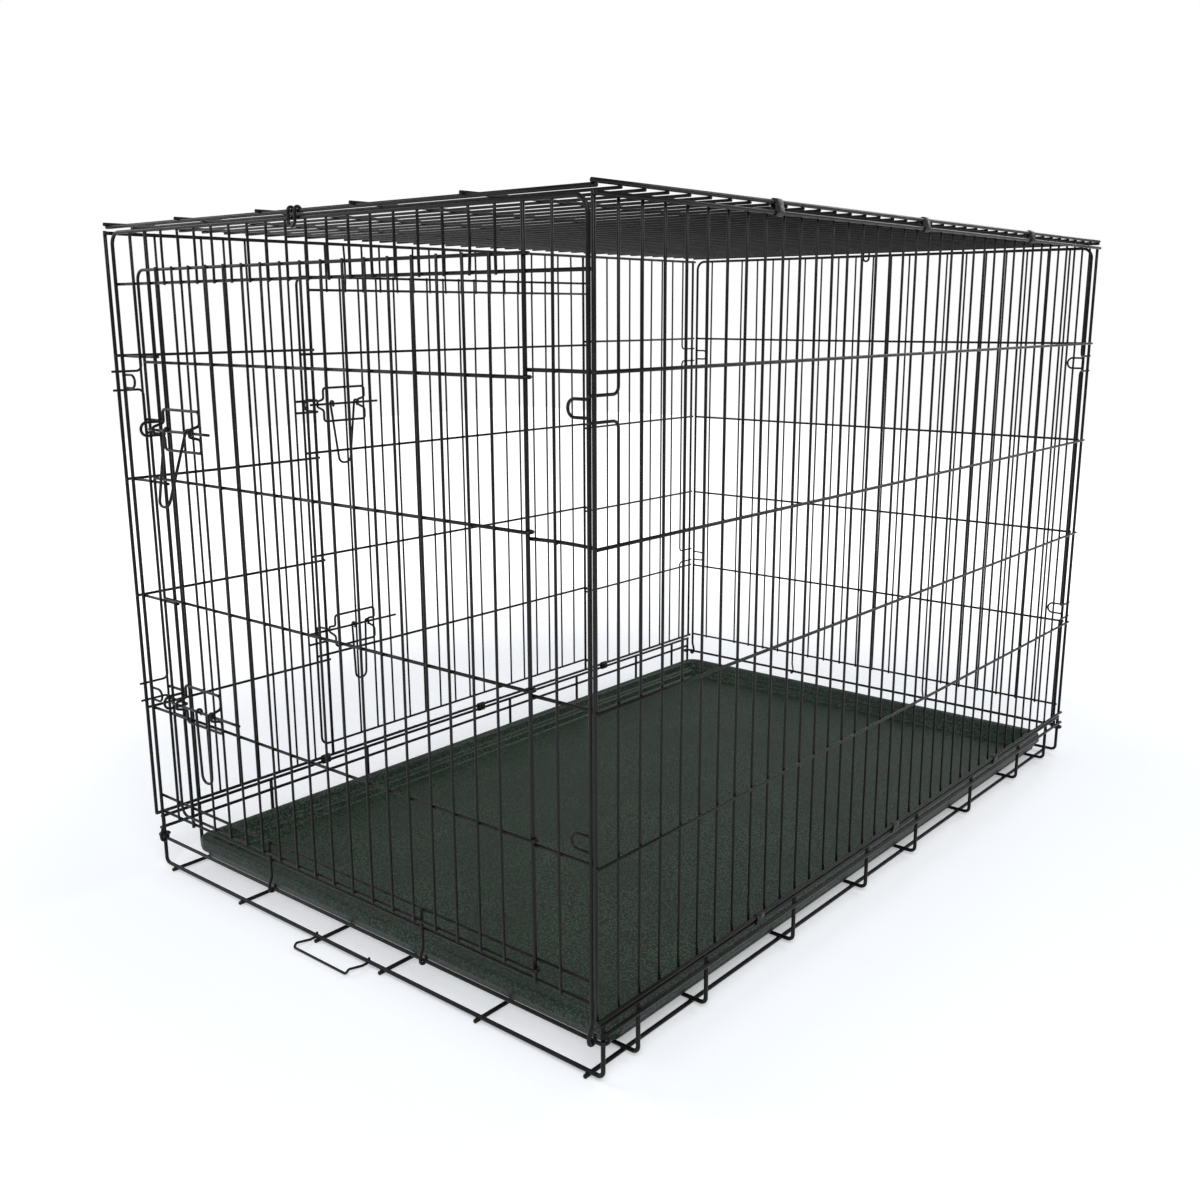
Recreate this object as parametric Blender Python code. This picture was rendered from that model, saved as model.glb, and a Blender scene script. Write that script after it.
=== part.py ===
"""Folding wire dog crate with a front door, a side door and a pull-out tray.

Run with: blender --background --python part.py
Metres, +Z up. The short door side faces -Y, the long door side faces -X,
and the floor wires stand on Z = 0.
"""

import math

import bmesh
import bpy
from mathutils import Vector

for old_object in list(bpy.data.objects):
    bpy.data.objects.remove(old_object, do_unlink=True)

X_AXIS = Vector((1, 0, 0))
Y_AXIS = Vector((0, 1, 0))
Z_AXIS = Vector((0, 0, 1))

# Wire gauges: diameter in metres and number of flats
BASE_GAUGE = (0.0050, 6)
FRAME_GAUGE = (0.0046, 6)
CROSS_GAUGE = (0.0040, 4)
FILL_GAUGE = (0.0034, 4)
LATCH_GAUGE = (0.0036, 4)

TOUCH_GAP = 0.0003
WELD_SINK = 0.0003
THIN_GAP = 0.00025
TURN_GAP = 0.0004

# Overall sizes that the rest follows
FOOT_HALF_WIDTH = 0.385
END_PLANE = 0.6075
SIDE_TOP = 0.828

# Base: hoops and runners as shares of the half length and half width
HOOP_ROW_SHARES = (0.117, 0.4115, 0.706, 0.9)
HOOP_BEND = 0.012
RUNNER_SHARES = (0.1506, 0.5506, 0.948)
RUNNER_NUB = 0.004
RIGHT_RAIL_Z = 0.065
LEFT_RAIL_Z = 0.074
RAIL_DROP = 0.0085
ROD_Z = 0.048

# End panels
END_HALF_WIDTH = FOOT_HALF_WIDTH - 0.009
END_TOP = SIDE_TOP
END_BOTTOM = 0.084
END_SILL = 0.107
END_CORNER = 0.015
HEADER_Z = END_TOP - 0.060
HOOK_COLUMN = END_HALF_WIDTH * 0.3617
FRONT_OPENING = END_HALF_WIDTH - 0.074
FRONT_STRIP = END_HALF_WIDTH - 0.040
FRONT_HEADER_BAYS = 18
REAR_BAYS = 22

# Side panels
SIDE_HALF_LENGTH = END_PLANE + 0.0015
SIDE_BAYS = 37
RIGHT_PLANE = FOOT_HALF_WIDTH - 0.0028
LEFT_PLANE = FOOT_HALF_WIDTH + 0.0035
SIDE_HEADER_Z = SIDE_TOP - 0.063
RAIL_TO_PANEL = 0.0065
LEFT_LATCH_BAY = 9
LEFT_HINGE_BAY = 27
LEVELS = tuple(SIDE_TOP * share for share in (0.2766, 0.4589, 0.6407, 0.8249))
WIRE_NUB = 0.0022

# Corner hooks on the side panels and the loops of the end panels between them
HOOK_LEVELS = (SIDE_TOP * 0.302, SIDE_TOP * 0.7874)
HOOK_HALF_GAP = 0.0115
HOOK_PAST_PLANE = 0.0085
HOOK_BEND = 0.007
LOOP_DEPTH = 0.024
LOOP_HALF_HEIGHT = 0.008

# Top panel
TOP_Z = SIDE_TOP + 0.010
TOP_HALF_WIDTH = FOOT_HALF_WIDTH - 0.001
TOP_LONG_SHARES = (0.2, 0.6)
CATCH_X = -0.0168
CATCH_WIDTH = 0.011
CATCH_DROP = 0.015

# Doors
DOOR_TOP = HEADER_Z + 0.015
DOOR_BOTTOM = END_SILL - 0.010
DOOR_LAP = 0.016
DOOR_CORNER = 0.012
DOOR_LEVEL_SHIFT = (0.0062, 0.0064, 0.0068, -0.0062)
DOOR_BARS = 17
DOOR_FIRST_BAR = 0.028
FRONT_LAST_BAR = 0.0352
SIDE_LAST_BAR = 0.0237

# Latches: heights of the bolts, then the reach of each part along the door
FRONT_LATCHES = (SIDE_TOP * 0.3116, SIDE_TOP * 0.7234)
SIDE_LATCHES = (SIDE_TOP * 0.3213, SIDE_TOP * 0.7295)
BOLT_DRAWN = 0.018
BOLT_TIP = 0.009
BOLT_LENGTH = (0.143, 0.124)
GUIDE_START = 0.0245
GUIDE_WIDTH = 0.075
GUIDE_HALF_HEIGHT = 0.024
GUIDE_KINK = 0.008
KEEPER_HALF_GAP = 0.008
KEEPER_SETBACK = 0.036
HANDLE_START = (0.050, 0.030)
HANDLE_WIDTH = (0.026, 0.044)
HANDLE_FOOT = 0.020
HANDLE_DROP = 0.088
HANDLE_TURN = 240
UPPER_HANDLE_LEAN = math.radians(14)

# Tray
TRAY_HALF_WIDTH = FOOT_HALF_WIDTH - 0.017
TRAY_FRONT = 0.0375 - END_PLANE
TRAY_BACK = END_PLANE - 0.0175
TRAY_TOP = 0.0388
TRAY_CORNER = 0.024
TRAY_DRAFT = 0.006
TRAY_WALL = 0.003
TRAY_LIP = 0.012
TRAY_STEP_HEIGHT = 0.012
TRAY_STEP_WIDTH = 0.010

# Tray stop
STOP_SPREAD = 0.096
STOP_FROM_RUNNER = 0.007
STOP_REACH = 0.030
STOP_RISE = 0.008
STOP_DROP = 0.007

# Hinge clips
CLIP_LENGTH = 0.014
CLIP_WALL = 0.0011
CLIP_BAYS = (8.5, 18.5, 28.5)


def corner_radius(gauge):
    """Centre to corner of the polygon with the area of the round wire."""
    diameter, flats = gauge
    turn = 2 * math.pi / flats
    return diameter / 2 * math.sqrt(turn / math.sin(turn))


def flat_radius(gauge):
    return corner_radius(gauge) * math.cos(math.pi / gauge[1])


BASE_R = corner_radius(BASE_GAUGE)
FRAME_R = corner_radius(FRAME_GAUGE)
CROSS_R = corner_radius(CROSS_GAUGE)
FILL_R = corner_radius(FILL_GAUGE)
LATCH_R = corner_radius(LATCH_GAUGE)

RUNNER_Z = flat_radius(BASE_GAUGE)
HOOP_Z = RUNNER_Z + 2 * flat_radius(BASE_GAUGE) + TOUCH_GAP
TRAY_FLOOR = HOOP_Z + flat_radius(BASE_GAUGE) + TOUCH_GAP
ROD_EYE = BASE_R + TURN_GAP + FRAME_R
END_ROW = END_PLANE - ROD_EYE
CROSS_LAYER = FILL_R + CROSS_R + THIN_GAP
STRIP_LAYER = FILL_R + CROSS_R - WELD_SINK
SIDE_PITCH = 2 * SIDE_HALF_LENGTH / SIDE_BAYS
DOOR_LAYER = FRAME_R + TURN_GAP + CROSS_R
BAR_LAYER = DOOR_LAYER + CROSS_LAYER
DOOR_FRAME_LAYER = BAR_LAYER - FILL_R - CROSS_R + WELD_SINK
HANDLE_EYE = 2 * LATCH_R + TURN_GAP
HANDLE_SWEEP = (HANDLE_EYE + LATCH_R) / math.cos(math.radians(HANDLE_TURN / 10))
BOLT_OUT = BAR_LAYER + FILL_R + TURN_GAP + HANDLE_SWEEP
GUIDE_OUT = BAR_LAYER + FILL_R + LATCH_R + TOUCH_GAP


def front(u, out, z):
    """A point of the front panel: u to the right, out of the crate, up."""
    return Vector((u, -END_PLANE - out, z))


def rear(u, out, z):
    return Vector((u, END_PLANE + out, z))


def left(u, out, z):
    """A point of the door side at -X: u to the back, out of the crate, up."""
    return Vector((-LEFT_PLANE - out, u, z))


def right(u, out, z):
    return Vector((RIGHT_PLANE + out, u, z))


def arc(centre, first, second, radius, start, end, steps):
    """Points on a circle, from the start to the end angle in degrees."""
    angles = [math.radians(start + (end - start) * i / steps) for i in range(steps + 1)]
    return [centre + radius * (first * math.cos(a) + second * math.sin(a)) for a in angles]


def curl(centre, first, second, radius, turn, steps):
    """The end of a wire round a pin: from its tip to the side where it runs on straight."""
    half = turn / steps / 2
    reach = radius / math.cos(math.radians(half))
    tip = arc(centre, first, second, radius, turn, turn, 1)[:1]
    return tip + arc(centre, first, second, reach, turn - half, half, steps - 1)


def bend(before, corner, after, radius, steps=2):
    """Round a corner of a wire with an arc of the given radius."""
    into = (before - corner).normalized()
    out = (after - corner).normalized()
    half = into.angle(out) / 2
    middle = (into + out).normalized()
    centre = corner + middle * radius / math.sin(half)
    start = corner + into * radius / math.tan(half)
    end = corner + out * radius / math.tan(half)
    first = (start - centre).normalized()
    sweep = math.pi - 2 * half
    second = ((end - centre).normalized() - first * math.cos(sweep)) / math.sin(sweep)
    return arc(centre, first, second, radius, 0, math.degrees(sweep), steps)


def rounded(corners, radius, steps=2):
    """A wire's route with its inner corners rounded."""
    count = len(corners)
    route = []
    for i, corner in enumerate(corners):
        if i in (0, count - 1):
            route.append(corner)
        else:
            route.extend(bend(corners[i - 1], corner, corners[(i + 1) % count], radius, steps))
    return route


class Wire:
    """One bent wire: its route, gauge, and the way that a corner faces."""

    def __init__(self, route, gauge, facing, closed=False):
        self.route = route
        self.gauge = gauge
        self.facing = facing
        self.closed = closed

    def first_ring(self):
        along = (self.route[1] - self.route[0]).normalized()
        side = (self.facing - along * self.facing.dot(along)).normalized()
        flats = self.gauge[1]
        radius = corner_radius(self.gauge)
        return arc(self.route[0], side, along.cross(side), radius, 0, 360 - 360 / flats, flats - 1)

    def rings(self):
        """Rings along the route, mitred where it turns."""
        route = self.route
        count = len(route)
        ring = self.first_ring()
        rings = []
        for i, place in enumerate(route):
            before = route[i - 1] if i or self.closed else None
            after = route[(i + 1) % count] if i < count - 1 or self.closed else None
            into = (place - before).normalized() if before else (after - place).normalized()
            out = (after - place).normalized() if after else into
            if i == 0:
                into = out if not self.closed else into
                slide = out
            else:
                slide = into
            normal = (into + out).normalized()
            ring = [p + slide * ((place - p).dot(normal) / slide.dot(normal)) for p in ring]
            rings.append(ring)
        return rings

    def add_to(self, mesh):
        rings = [[mesh.verts.new(p) for p in ring] for ring in self.rings()]
        flats = self.gauge[1]
        pairs = list(zip(rings, rings[1:]))
        if self.closed:
            pairs.append((rings[-1], rings[0]))
        for lower, upper in pairs:
            for k in range(flats):
                n = (k + 1) % flats
                mesh.faces.new((lower[k], lower[n], upper[n], upper[k]))
        if not self.closed:
            mesh.faces.new(list(reversed(rings[0])))
            mesh.faces.new(rings[-1])


def make_material(name, colour, roughness, metallic):
    material = bpy.data.materials.new(name)
    material.use_nodes = True
    shader = material.node_tree.nodes["Principled BSDF"]
    shader.inputs["Base Color"].default_value = (*colour, 1)
    shader.inputs["Roughness"].default_value = roughness
    shader.inputs["Metallic"].default_value = metallic
    material.diffuse_color = (*colour, 1)
    return material


def make_object(name, mesh, finish=None, origin=Vector((0, 0, 0)), parent=None):
    """Store a bmesh as an object whose origin is at the given point."""
    bmesh.ops.recalc_face_normals(mesh, faces=mesh.faces)
    bmesh.ops.translate(mesh, verts=mesh.verts, vec=-origin)
    data = bpy.data.meshes.new(name)
    mesh.to_mesh(data)
    mesh.free()
    if finish:
        data.materials.append(make_material(name, *finish))
    item = bpy.data.objects.new(name, data)
    bpy.context.collection.objects.link(item)
    item.location = origin
    if parent:
        item.parent = parent
        item.location = origin - parent.matrix_world.translation
    bpy.context.view_layer.update()
    return item


def wires_mesh(wires):
    mesh = bmesh.new()
    for wire in wires:
        wire.add_to(mesh)
    return mesh


def weld(name, layers, finish, origin=Vector((0, 0, 0)), parent=None):
    """Join layers of wires, each layer crossing the others, into one piece."""
    item = make_object(name, wires_mesh(layers[0]), finish, origin, parent)
    tools = []
    for wires in layers[1:]:
        tool = make_object(name + "_layer", wires_mesh(wires))
        tool.hide_render = True
        tool.display_type = "WIRE"
        tools.append(tool)
        union = item.modifiers.new("weld", "BOOLEAN")
        union.operation = "UNION"
        union.solver = "EXACT"
        union.object = tool
    bpy.context.view_layer.update()
    graph = bpy.context.evaluated_depsgraph_get()
    joined = bpy.data.meshes.new_from_object(item.evaluated_get(graph))
    item.modifiers.clear()
    item.data = joined
    for tool in tools:
        bpy.data.objects.remove(tool, do_unlink=True)
    return item


BLACK_COAT = ((0.013, 0.013, 0.014), 0.42, 0.0)
LATCH_COAT = ((0.018, 0.018, 0.019), 0.36, 0.0)
CLIP_STEEL = ((0.030, 0.030, 0.032), 0.45, 0.6)
TRAY_PLASTIC = ((0.022, 0.027, 0.024), 0.62, 0.0)

END_LAYER = FILL_R + FRAME_R - WELD_SINK
TOP_CROSS_Z = TOP_Z - END_LAYER
KEEPER_LAYER = FRAME_R + LATCH_R + TOUCH_GAP
CATCH_EYE = FRAME_R + TURN_GAP + LATCH_R
STOP_EYE = BASE_R + TOUCH_GAP + FILL_R
BULGE_OUT = BOLT_OUT + 2 * LATCH_R + TURN_GAP


def outward(place):
    return (place(0, 1, 0) - place(0, 0, 0)).normalized()


def along(place):
    return (place(1, 0, 0) - place(0, 0, 0)).normalized()


def level(place, u_start, u_end, out, z, gauge=CROSS_GAUGE):
    """A straight wire at one height of a panel."""
    return Wire([place(u_start, out, z), place(u_end, out, z)], gauge, outward(place))


def upright(place, u, z_start, z_end, gauge=FILL_GAUGE, out=0.0):
    return Wire([place(u, out, z_start), place(u, out, z_end)], gauge, outward(place))


def base_frame():
    """The welded floor frame: runners, hoops, rails and the two hinge rods."""
    rows = sorted(hand * share * END_PLANE for hand in (-1, 1) for share in HOOP_ROW_SHARES)
    for number, row in enumerate([-END_ROW] + rows + [END_ROW], start=1):
        tops = [rail - FRAME_R - TOUCH_GAP for rail in (LEFT_RAIL_Z, RIGHT_RAIL_Z)]
        corners = [
            Vector((-FOOT_HALF_WIDTH, row, tops[0])),
            Vector((-FOOT_HALF_WIDTH, row, HOOP_Z)),
            Vector((FOOT_HALF_WIDTH, row, HOOP_Z)),
            Vector((FOOT_HALF_WIDTH, row, tops[1])),
        ]
        hoop = Wire(rounded(corners, HOOP_BEND), BASE_GAUGE, Y_AXIS)
        weld(f"floor_hoop_{number:02d}", [[hoop]], BLACK_COAT)
    reach = END_ROW + BASE_R
    shares = sorted(hand * share for hand in (-1, 1) for share in RUNNER_SHARES)
    columns = [share * FOOT_HALF_WIDTH for share in shares]
    for number, column in enumerate(columns, start=1):
        ends = [Vector((column, side * (reach + RUNNER_NUB), RUNNER_Z)) for side in (-1, 1)]
        weld(f"floor_runner_{number}", [[Wire(ends, BASE_GAUGE, X_AXIS)]], BLACK_COAT)
    lower_x = FOOT_HALF_WIDTH + flat_radius(BASE_GAUGE) + TOUCH_GAP + FRAME_R
    for name, x, z in (
        ("left_upper_rail", -FOOT_HALF_WIDTH, LEFT_RAIL_Z),
        ("right_upper_rail", FOOT_HALF_WIDTH, RIGHT_RAIL_Z),
    ):
        ends = [Vector((x, side * reach, z)) for side in (-1, 1)]
        weld(name, [[Wire(ends, FRAME_GAUGE, Z_AXIS)]], BLACK_COAT)
    for name, x in (("left_lower_rail", -lower_x), ("right_lower_rail", lower_x)):
        ends = [Vector((x, side * reach, RIGHT_RAIL_Z - RAIL_DROP)) for side in (-1, 1)]
        weld(name, [[Wire(ends, FRAME_GAUGE, X_AXIS)]], BLACK_COAT)
    for name, side in (("front_hinge_rod", -1), ("rear_hinge_rod", 1)):
        weld(name, [[hinge_rod(side)]], BLACK_COAT)


def hinge_rod(side):
    """A rod across one end, with an eye round the riser at each of its ends."""
    route = []
    for hand in (-1, 1):
        centre = Vector((hand * FOOT_HALF_WIDTH, side * END_ROW, ROD_Z))
        eye = curl(centre, Y_AXIS * side, X_AXIS * hand, ROD_EYE, 200, 4)
        route.extend(eye if hand < 0 else reversed(eye))
    return Wire(route, FRAME_GAUGE, Z_AXIS)


def rod_hook(place, u, gauge, hand=1):
    """The foot of an upright: it steps outwards and curls round the hinge rod."""
    radius = FRAME_R + TURN_GAP + corner_radius(gauge)
    centre = place(u, 0, ROD_Z)
    eye = curl(centre, outward(place), -Z_AXIS, radius, 225, 5)
    step = [place(u, radius, ROD_Z + radius / 2), place(u, 0, ROD_Z + 3 * radius)]
    return eye + step if hand > 0 else list(reversed(eye + step))


def end_loop(place):
    """The outline wire of an end panel, from one rod hook over the top to the other."""
    corners = [
        place(-END_HALF_WIDTH, 0, ROD_Z + 0.03),
        place(-END_HALF_WIDTH, 0, END_TOP),
        place(END_HALF_WIDTH, 0, END_TOP),
        place(END_HALF_WIDTH, 0, ROD_Z + 0.03),
    ]
    arch = rounded(corners, END_CORNER, 3)[1:-1]
    start = rod_hook(place, -END_HALF_WIDTH, FRAME_GAUGE)
    end = rod_hook(place, END_HALF_WIDTH, FRAME_GAUGE, -1)
    return Wire(start + arch + end, FRAME_GAUGE, outward(place))


def corner_loops(place):
    """The D loops of an end panel that sit between the corner hooks."""
    loops = []
    for hand in (-1, 1):
        for z in HOOK_LEVELS:
            root = hand * (END_HALF_WIDTH - FRAME_R / 3)
            tip = hand * (END_HALF_WIDTH - LOOP_DEPTH)
            corners = [
                place(root, 0, z - LOOP_HALF_HEIGHT),
                place(tip, 0, z - LOOP_HALF_HEIGHT),
                place(tip, 0, z + LOOP_HALF_HEIGHT),
                place(root, 0, z + LOOP_HALF_HEIGHT),
            ]
            loops.append(Wire(rounded(corners, LOOP_HALF_HEIGHT * 0.95), FILL_GAUGE, outward(place)))
    return loops


def hooked_upright(place, u, hand, levels, bottom, top):
    """An upright beside a corner, cut at each level into two hooks over the end panel."""
    tip = hand * (END_PLANE + HOOK_PAST_PLANE)
    wires = []
    start = None
    for z in levels:
        corners = [place(u, 0, bottom)] if start is None else [place(tip, 0, start), place(u, 0, start)]
        corners += [place(u, 0, z - HOOK_HALF_GAP), place(tip, 0, z - HOOK_HALF_GAP)]
        wires.append(Wire(rounded(corners, HOOK_BEND), FILL_GAUGE, outward(place)))
        start = z + HOOK_HALF_GAP
    corners = [place(tip, 0, start), place(u, 0, start), place(u, 0, top)]
    wires.append(Wire(rounded(corners, HOOK_BEND), FILL_GAUGE, outward(place)))
    return wires


def keeper(place, latch_u, z):
    """A hairpin on the frame beside a door: the bolt slides through its bend."""
    bend_u = latch_u + FRAME_R + TURN_GAP + LATCH_R
    bow = arc(place(bend_u, BOLT_OUT, z), Z_AXIS, outward(place), KEEPER_HALF_GAP, 0, 180, 4)
    heights = (z + KEEPER_HALF_GAP, z - KEEPER_HALF_GAP)
    top, bottom = [
        [place(latch_u - KEEPER_SETBACK, -KEEPER_LAYER, h), place(bend_u, -KEEPER_LAYER, h)]
        for h in heights
    ]
    return Wire(top + bow + list(reversed(bottom)), LATCH_GAUGE, outward(place))


def front_panel():
    foot, head = END_BOTTOM - FRAME_R, END_TOP - FRAME_R / 3
    uprights = [upright(front, hand * FRONT_STRIP, foot, head) for hand in (-1, 1)]
    uprights += [upright(front, hand * FRONT_OPENING, foot, head, FRAME_GAUGE) for hand in (-1, 1)]
    bay = 2 * FRONT_OPENING / FRONT_HEADER_BAYS
    for k in range(1, FRONT_HEADER_BAYS):
        uprights.append(upright(front, k * bay - FRONT_OPENING, HEADER_Z - FRAME_R, head))
    for hand in (-1, 1):
        hook = rod_hook(front, hand * HOOK_COLUMN, CROSS_GAUGE)
        hook.append(front(hand * HOOK_COLUMN, 0, END_SILL + FRAME_R))
        uprights.append(Wire(hook, CROSS_GAUGE, outward(front)))
    edge = END_HALF_WIDTH + FRAME_R * 0.9
    levels = [level(front, -edge, edge, -STRIP_LAYER, z) for z in (HEADER_Z, END_SILL, END_BOTTOM)]
    inner = FRONT_OPENING - FRAME_R * 0.9
    for z in LEVELS:
        levels.append(level(front, -edge, -inner, -STRIP_LAYER, z))
        levels.append(level(front, inner, edge, -STRIP_LAYER, z))
    layers = [[end_loop(front)], uprights + corner_loops(front), levels]
    return weld("front_panel", layers, BLACK_COAT, front(0, 0, ROD_Z))


def rear_panel():
    head = END_TOP - FRAME_R / 3
    bay = 2 * END_HALF_WIDTH / REAR_BAYS
    hook_bays = round(HOOK_COLUMN / bay)
    uprights = []
    for k in range(1, REAR_BAYS):
        u = k * bay - END_HALF_WIDTH
        if abs(k - REAR_BAYS // 2) == hook_bays:
            route = rod_hook(rear, u, FILL_GAUGE) + [rear(u, 0, head)]
            uprights.append(Wire(route, FILL_GAUGE, outward(rear)))
        else:
            uprights.append(upright(rear, u, END_BOTTOM - FRAME_R, head))
    edge = END_HALF_WIDTH + FRAME_R * 0.9
    levels = [level(rear, -edge, edge, STRIP_LAYER, END_BOTTOM)]
    levels += [level(rear, -edge, edge, CROSS_LAYER, z) for z in LEVELS]
    layers = [[end_loop(rear)], uprights, corner_loops(rear), levels]
    return weld("rear_panel", layers, BLACK_COAT, rear(0, 0, ROD_Z))


def side_bar(bay):
    return bay * SIDE_PITCH - SIDE_HALF_LENGTH


def side_edges(place, foot, head):
    return [upright(place, side_bar(bay), foot, head, FRAME_GAUGE) for bay in (0, SIDE_BAYS)]


def right_panel():
    bottom = RIGHT_RAIL_Z + RAIL_TO_PANEL
    foot, head = bottom - WIRE_NUB, SIDE_TOP + WIRE_NUB
    uprights = side_edges(right, foot, head)
    uprights += [upright(right, side_bar(bay), foot, head) for bay in range(2, SIDE_BAYS - 1)]
    hooks = hooked_upright(right, side_bar(1), -1, HOOK_LEVELS[1:], foot, head)
    hooks += hooked_upright(right, side_bar(SIDE_BAYS - 1), 1, HOOK_LEVELS, foot, head)
    reach = SIDE_HALF_LENGTH + FRAME_R * 0.9
    levels = [level(right, -reach, reach, END_LAYER, z, FRAME_GAUGE) for z in (bottom, SIDE_TOP)]
    levels += [level(right, -reach, reach, CROSS_LAYER, z) for z in LEVELS]
    pivot = Vector((FOOT_HALF_WIDTH, 0, RIGHT_RAIL_Z))
    return weld("right_panel", [uprights, hooks, levels], BLACK_COAT, pivot)


def left_panel():
    bottom = LEFT_RAIL_Z + RAIL_TO_PANEL
    foot, head = bottom - WIRE_NUB, SIDE_TOP + WIRE_NUB
    uprights = side_edges(left, foot, head)
    for bay in range(2, SIDE_BAYS - 1):
        if bay in (LEFT_LATCH_BAY, LEFT_HINGE_BAY):
            uprights.append(upright(left, side_bar(bay), foot, head, FRAME_GAUGE))
        elif LEFT_LATCH_BAY < bay < LEFT_HINGE_BAY:
            uprights.append(upright(left, side_bar(bay), SIDE_HEADER_Z - FRAME_R, head))
        else:
            uprights.append(upright(left, side_bar(bay), foot, head))
    hooks = hooked_upright(left, side_bar(1), -1, HOOK_LEVELS, foot, head)
    hooks += hooked_upright(left, side_bar(SIDE_BAYS - 1), 1, HOOK_LEVELS, foot, head)
    reach = SIDE_HALF_LENGTH + FRAME_R * 0.9
    levels = [level(left, -reach, reach, -END_LAYER, z, FRAME_GAUGE) for z in (bottom, SIDE_TOP)]
    latch_u, hinge_u = side_bar(LEFT_LATCH_BAY), side_bar(LEFT_HINGE_BAY)
    lap = FRAME_R * 0.9
    levels.append(level(left, latch_u - lap, hinge_u + lap, -STRIP_LAYER, SIDE_HEADER_Z))
    for z in LEVELS:
        levels.append(level(left, -reach, latch_u + lap, -CROSS_LAYER, z))
        levels.append(level(left, hinge_u - lap, reach, -CROSS_LAYER, z))
    pivot = Vector((-FOOT_HALF_WIDTH, 0, LEFT_RAIL_Z))
    return weld("left_panel", [uprights, hooks, levels], BLACK_COAT, pivot)


def hinge_eye(place, hinge_u, z, radius=DOOR_LAYER):
    """The curl of a door wire round the upright that the door turns on."""
    return curl(place(hinge_u, 0, z), outward(place), along(place), radius, 225, 5)


def bolt_guide(place, latch_u, z):
    """A wire frame on the door bars whose sides bow out over the bolt."""
    start = latch_u + GUIDE_START
    end = start + GUIDE_WIDTH

    def side(u, up):
        lower = [-GUIDE_HALF_HEIGHT, -GUIDE_KINK, -GUIDE_KINK / 2]
        heights = lower + [-height for height in reversed(lower)]
        outs = [GUIDE_OUT, GUIDE_OUT, BULGE_OUT, BULGE_OUT, GUIDE_OUT, GUIDE_OUT]
        points = [place(u, out, z + h) for out, h in zip(outs, heights)]
        return points if up else list(reversed(points))

    return Wire(side(end, True) + side(start, False), LATCH_GAUGE, outward(place), closed=True)


def door(name, place, latch_u, hinge_u, last_bar, parent):
    free_u = latch_u - DOOR_LAP
    corners = [
        place(hinge_u, DOOR_FRAME_LAYER, DOOR_TOP),
        place(free_u, DOOR_FRAME_LAYER, DOOR_TOP),
        place(free_u, DOOR_FRAME_LAYER, DOOR_BOTTOM),
        place(hinge_u, DOOR_FRAME_LAYER, DOOR_BOTTOM),
    ]
    outline = hinge_eye(place, hinge_u, DOOR_TOP, DOOR_FRAME_LAYER) + rounded(corners, DOOR_CORNER)[1:-1]
    outline += reversed(hinge_eye(place, hinge_u, DOOR_BOTTOM, DOOR_FRAME_LAYER))
    levels = []
    for z, shift in zip(LEVELS, DOOR_LEVEL_SHIFT):
        route = hinge_eye(place, hinge_u, z + shift) + [place(free_u + CROSS_R / 3, DOOR_LAYER, z + shift)]
        levels.append(Wire(route, CROSS_GAUGE, outward(place)))
    bars = []
    pitch = (hinge_u - latch_u - DOOR_FIRST_BAR - last_bar) / (DOOR_BARS - 1)
    for k in range(DOOR_BARS):
        u = latch_u + DOOR_FIRST_BAR + k * pitch
        bars.append(upright(place, u, DOOR_BOTTOM - WIRE_NUB, DOOR_TOP + WIRE_NUB, out=BAR_LAYER))
    layers = [[Wire(outline, CROSS_GAUGE, outward(place))], levels, bars]
    return weld(name, layers, BLACK_COAT, place(hinge_u, 0, 0), parent)


def latch(name, place, latch_u, z, kind, lean, door_piece, panel_piece):
    """One bolt in its guide, the loop handle that turns on it, and its keeper."""
    centre = place(latch_u, 0, z)
    weld(f"{name}_keeper", [[keeper(place, latch_u, z)]], LATCH_COAT, centre, panel_piece)
    weld(f"{name}_guide", [[bolt_guide(place, latch_u, z)]], LATCH_COAT, centre, door_piece)
    tip = latch_u - BOLT_TIP + BOLT_DRAWN
    ends = [place(tip, BOLT_OUT, z), place(tip + BOLT_LENGTH[kind], BOLT_OUT, z)]
    rod = Wire(ends, LATCH_GAUGE, outward(place))
    bolt = weld(f"{name}_bolt", [[rod]], LATCH_COAT, place(tip, BOLT_OUT, z), door_piece)
    near = latch_u + HANDLE_START[kind] + BOLT_DRAWN
    far = near + HANDLE_WIDTH[kind]
    out = Z_AXIS * math.sin(lean) + outward(place) * math.cos(lean)
    up = Z_AXIS * math.cos(lean) - outward(place) * math.sin(lean)
    route = []
    for u in (near, far):
        centre = place(u, BOLT_OUT, z)
        eye = curl(centre, out, up, HANDLE_EYE, HANDLE_TURN, 5)
        route.extend(eye if u == near else reversed(eye))
    middle = place((near + far) / 2, BOLT_OUT, z) + out * HANDLE_EYE - up * HANDLE_DROP
    feet = [middle + hand * along(place) * HANDLE_FOOT / 2 for hand in (-1, 1)]
    half = len(route) // 2
    foot = rounded([route[half - 1]] + feet + [route[half]], HANDLE_FOOT * 0.42)[1:-1]
    loop = Wire(route[:half] + foot + route[half:], LATCH_GAUGE, along(place))
    weld(f"{name}_handle", [[loop]], LATCH_COAT, place(near, BOLT_OUT, z), bolt)


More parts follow.
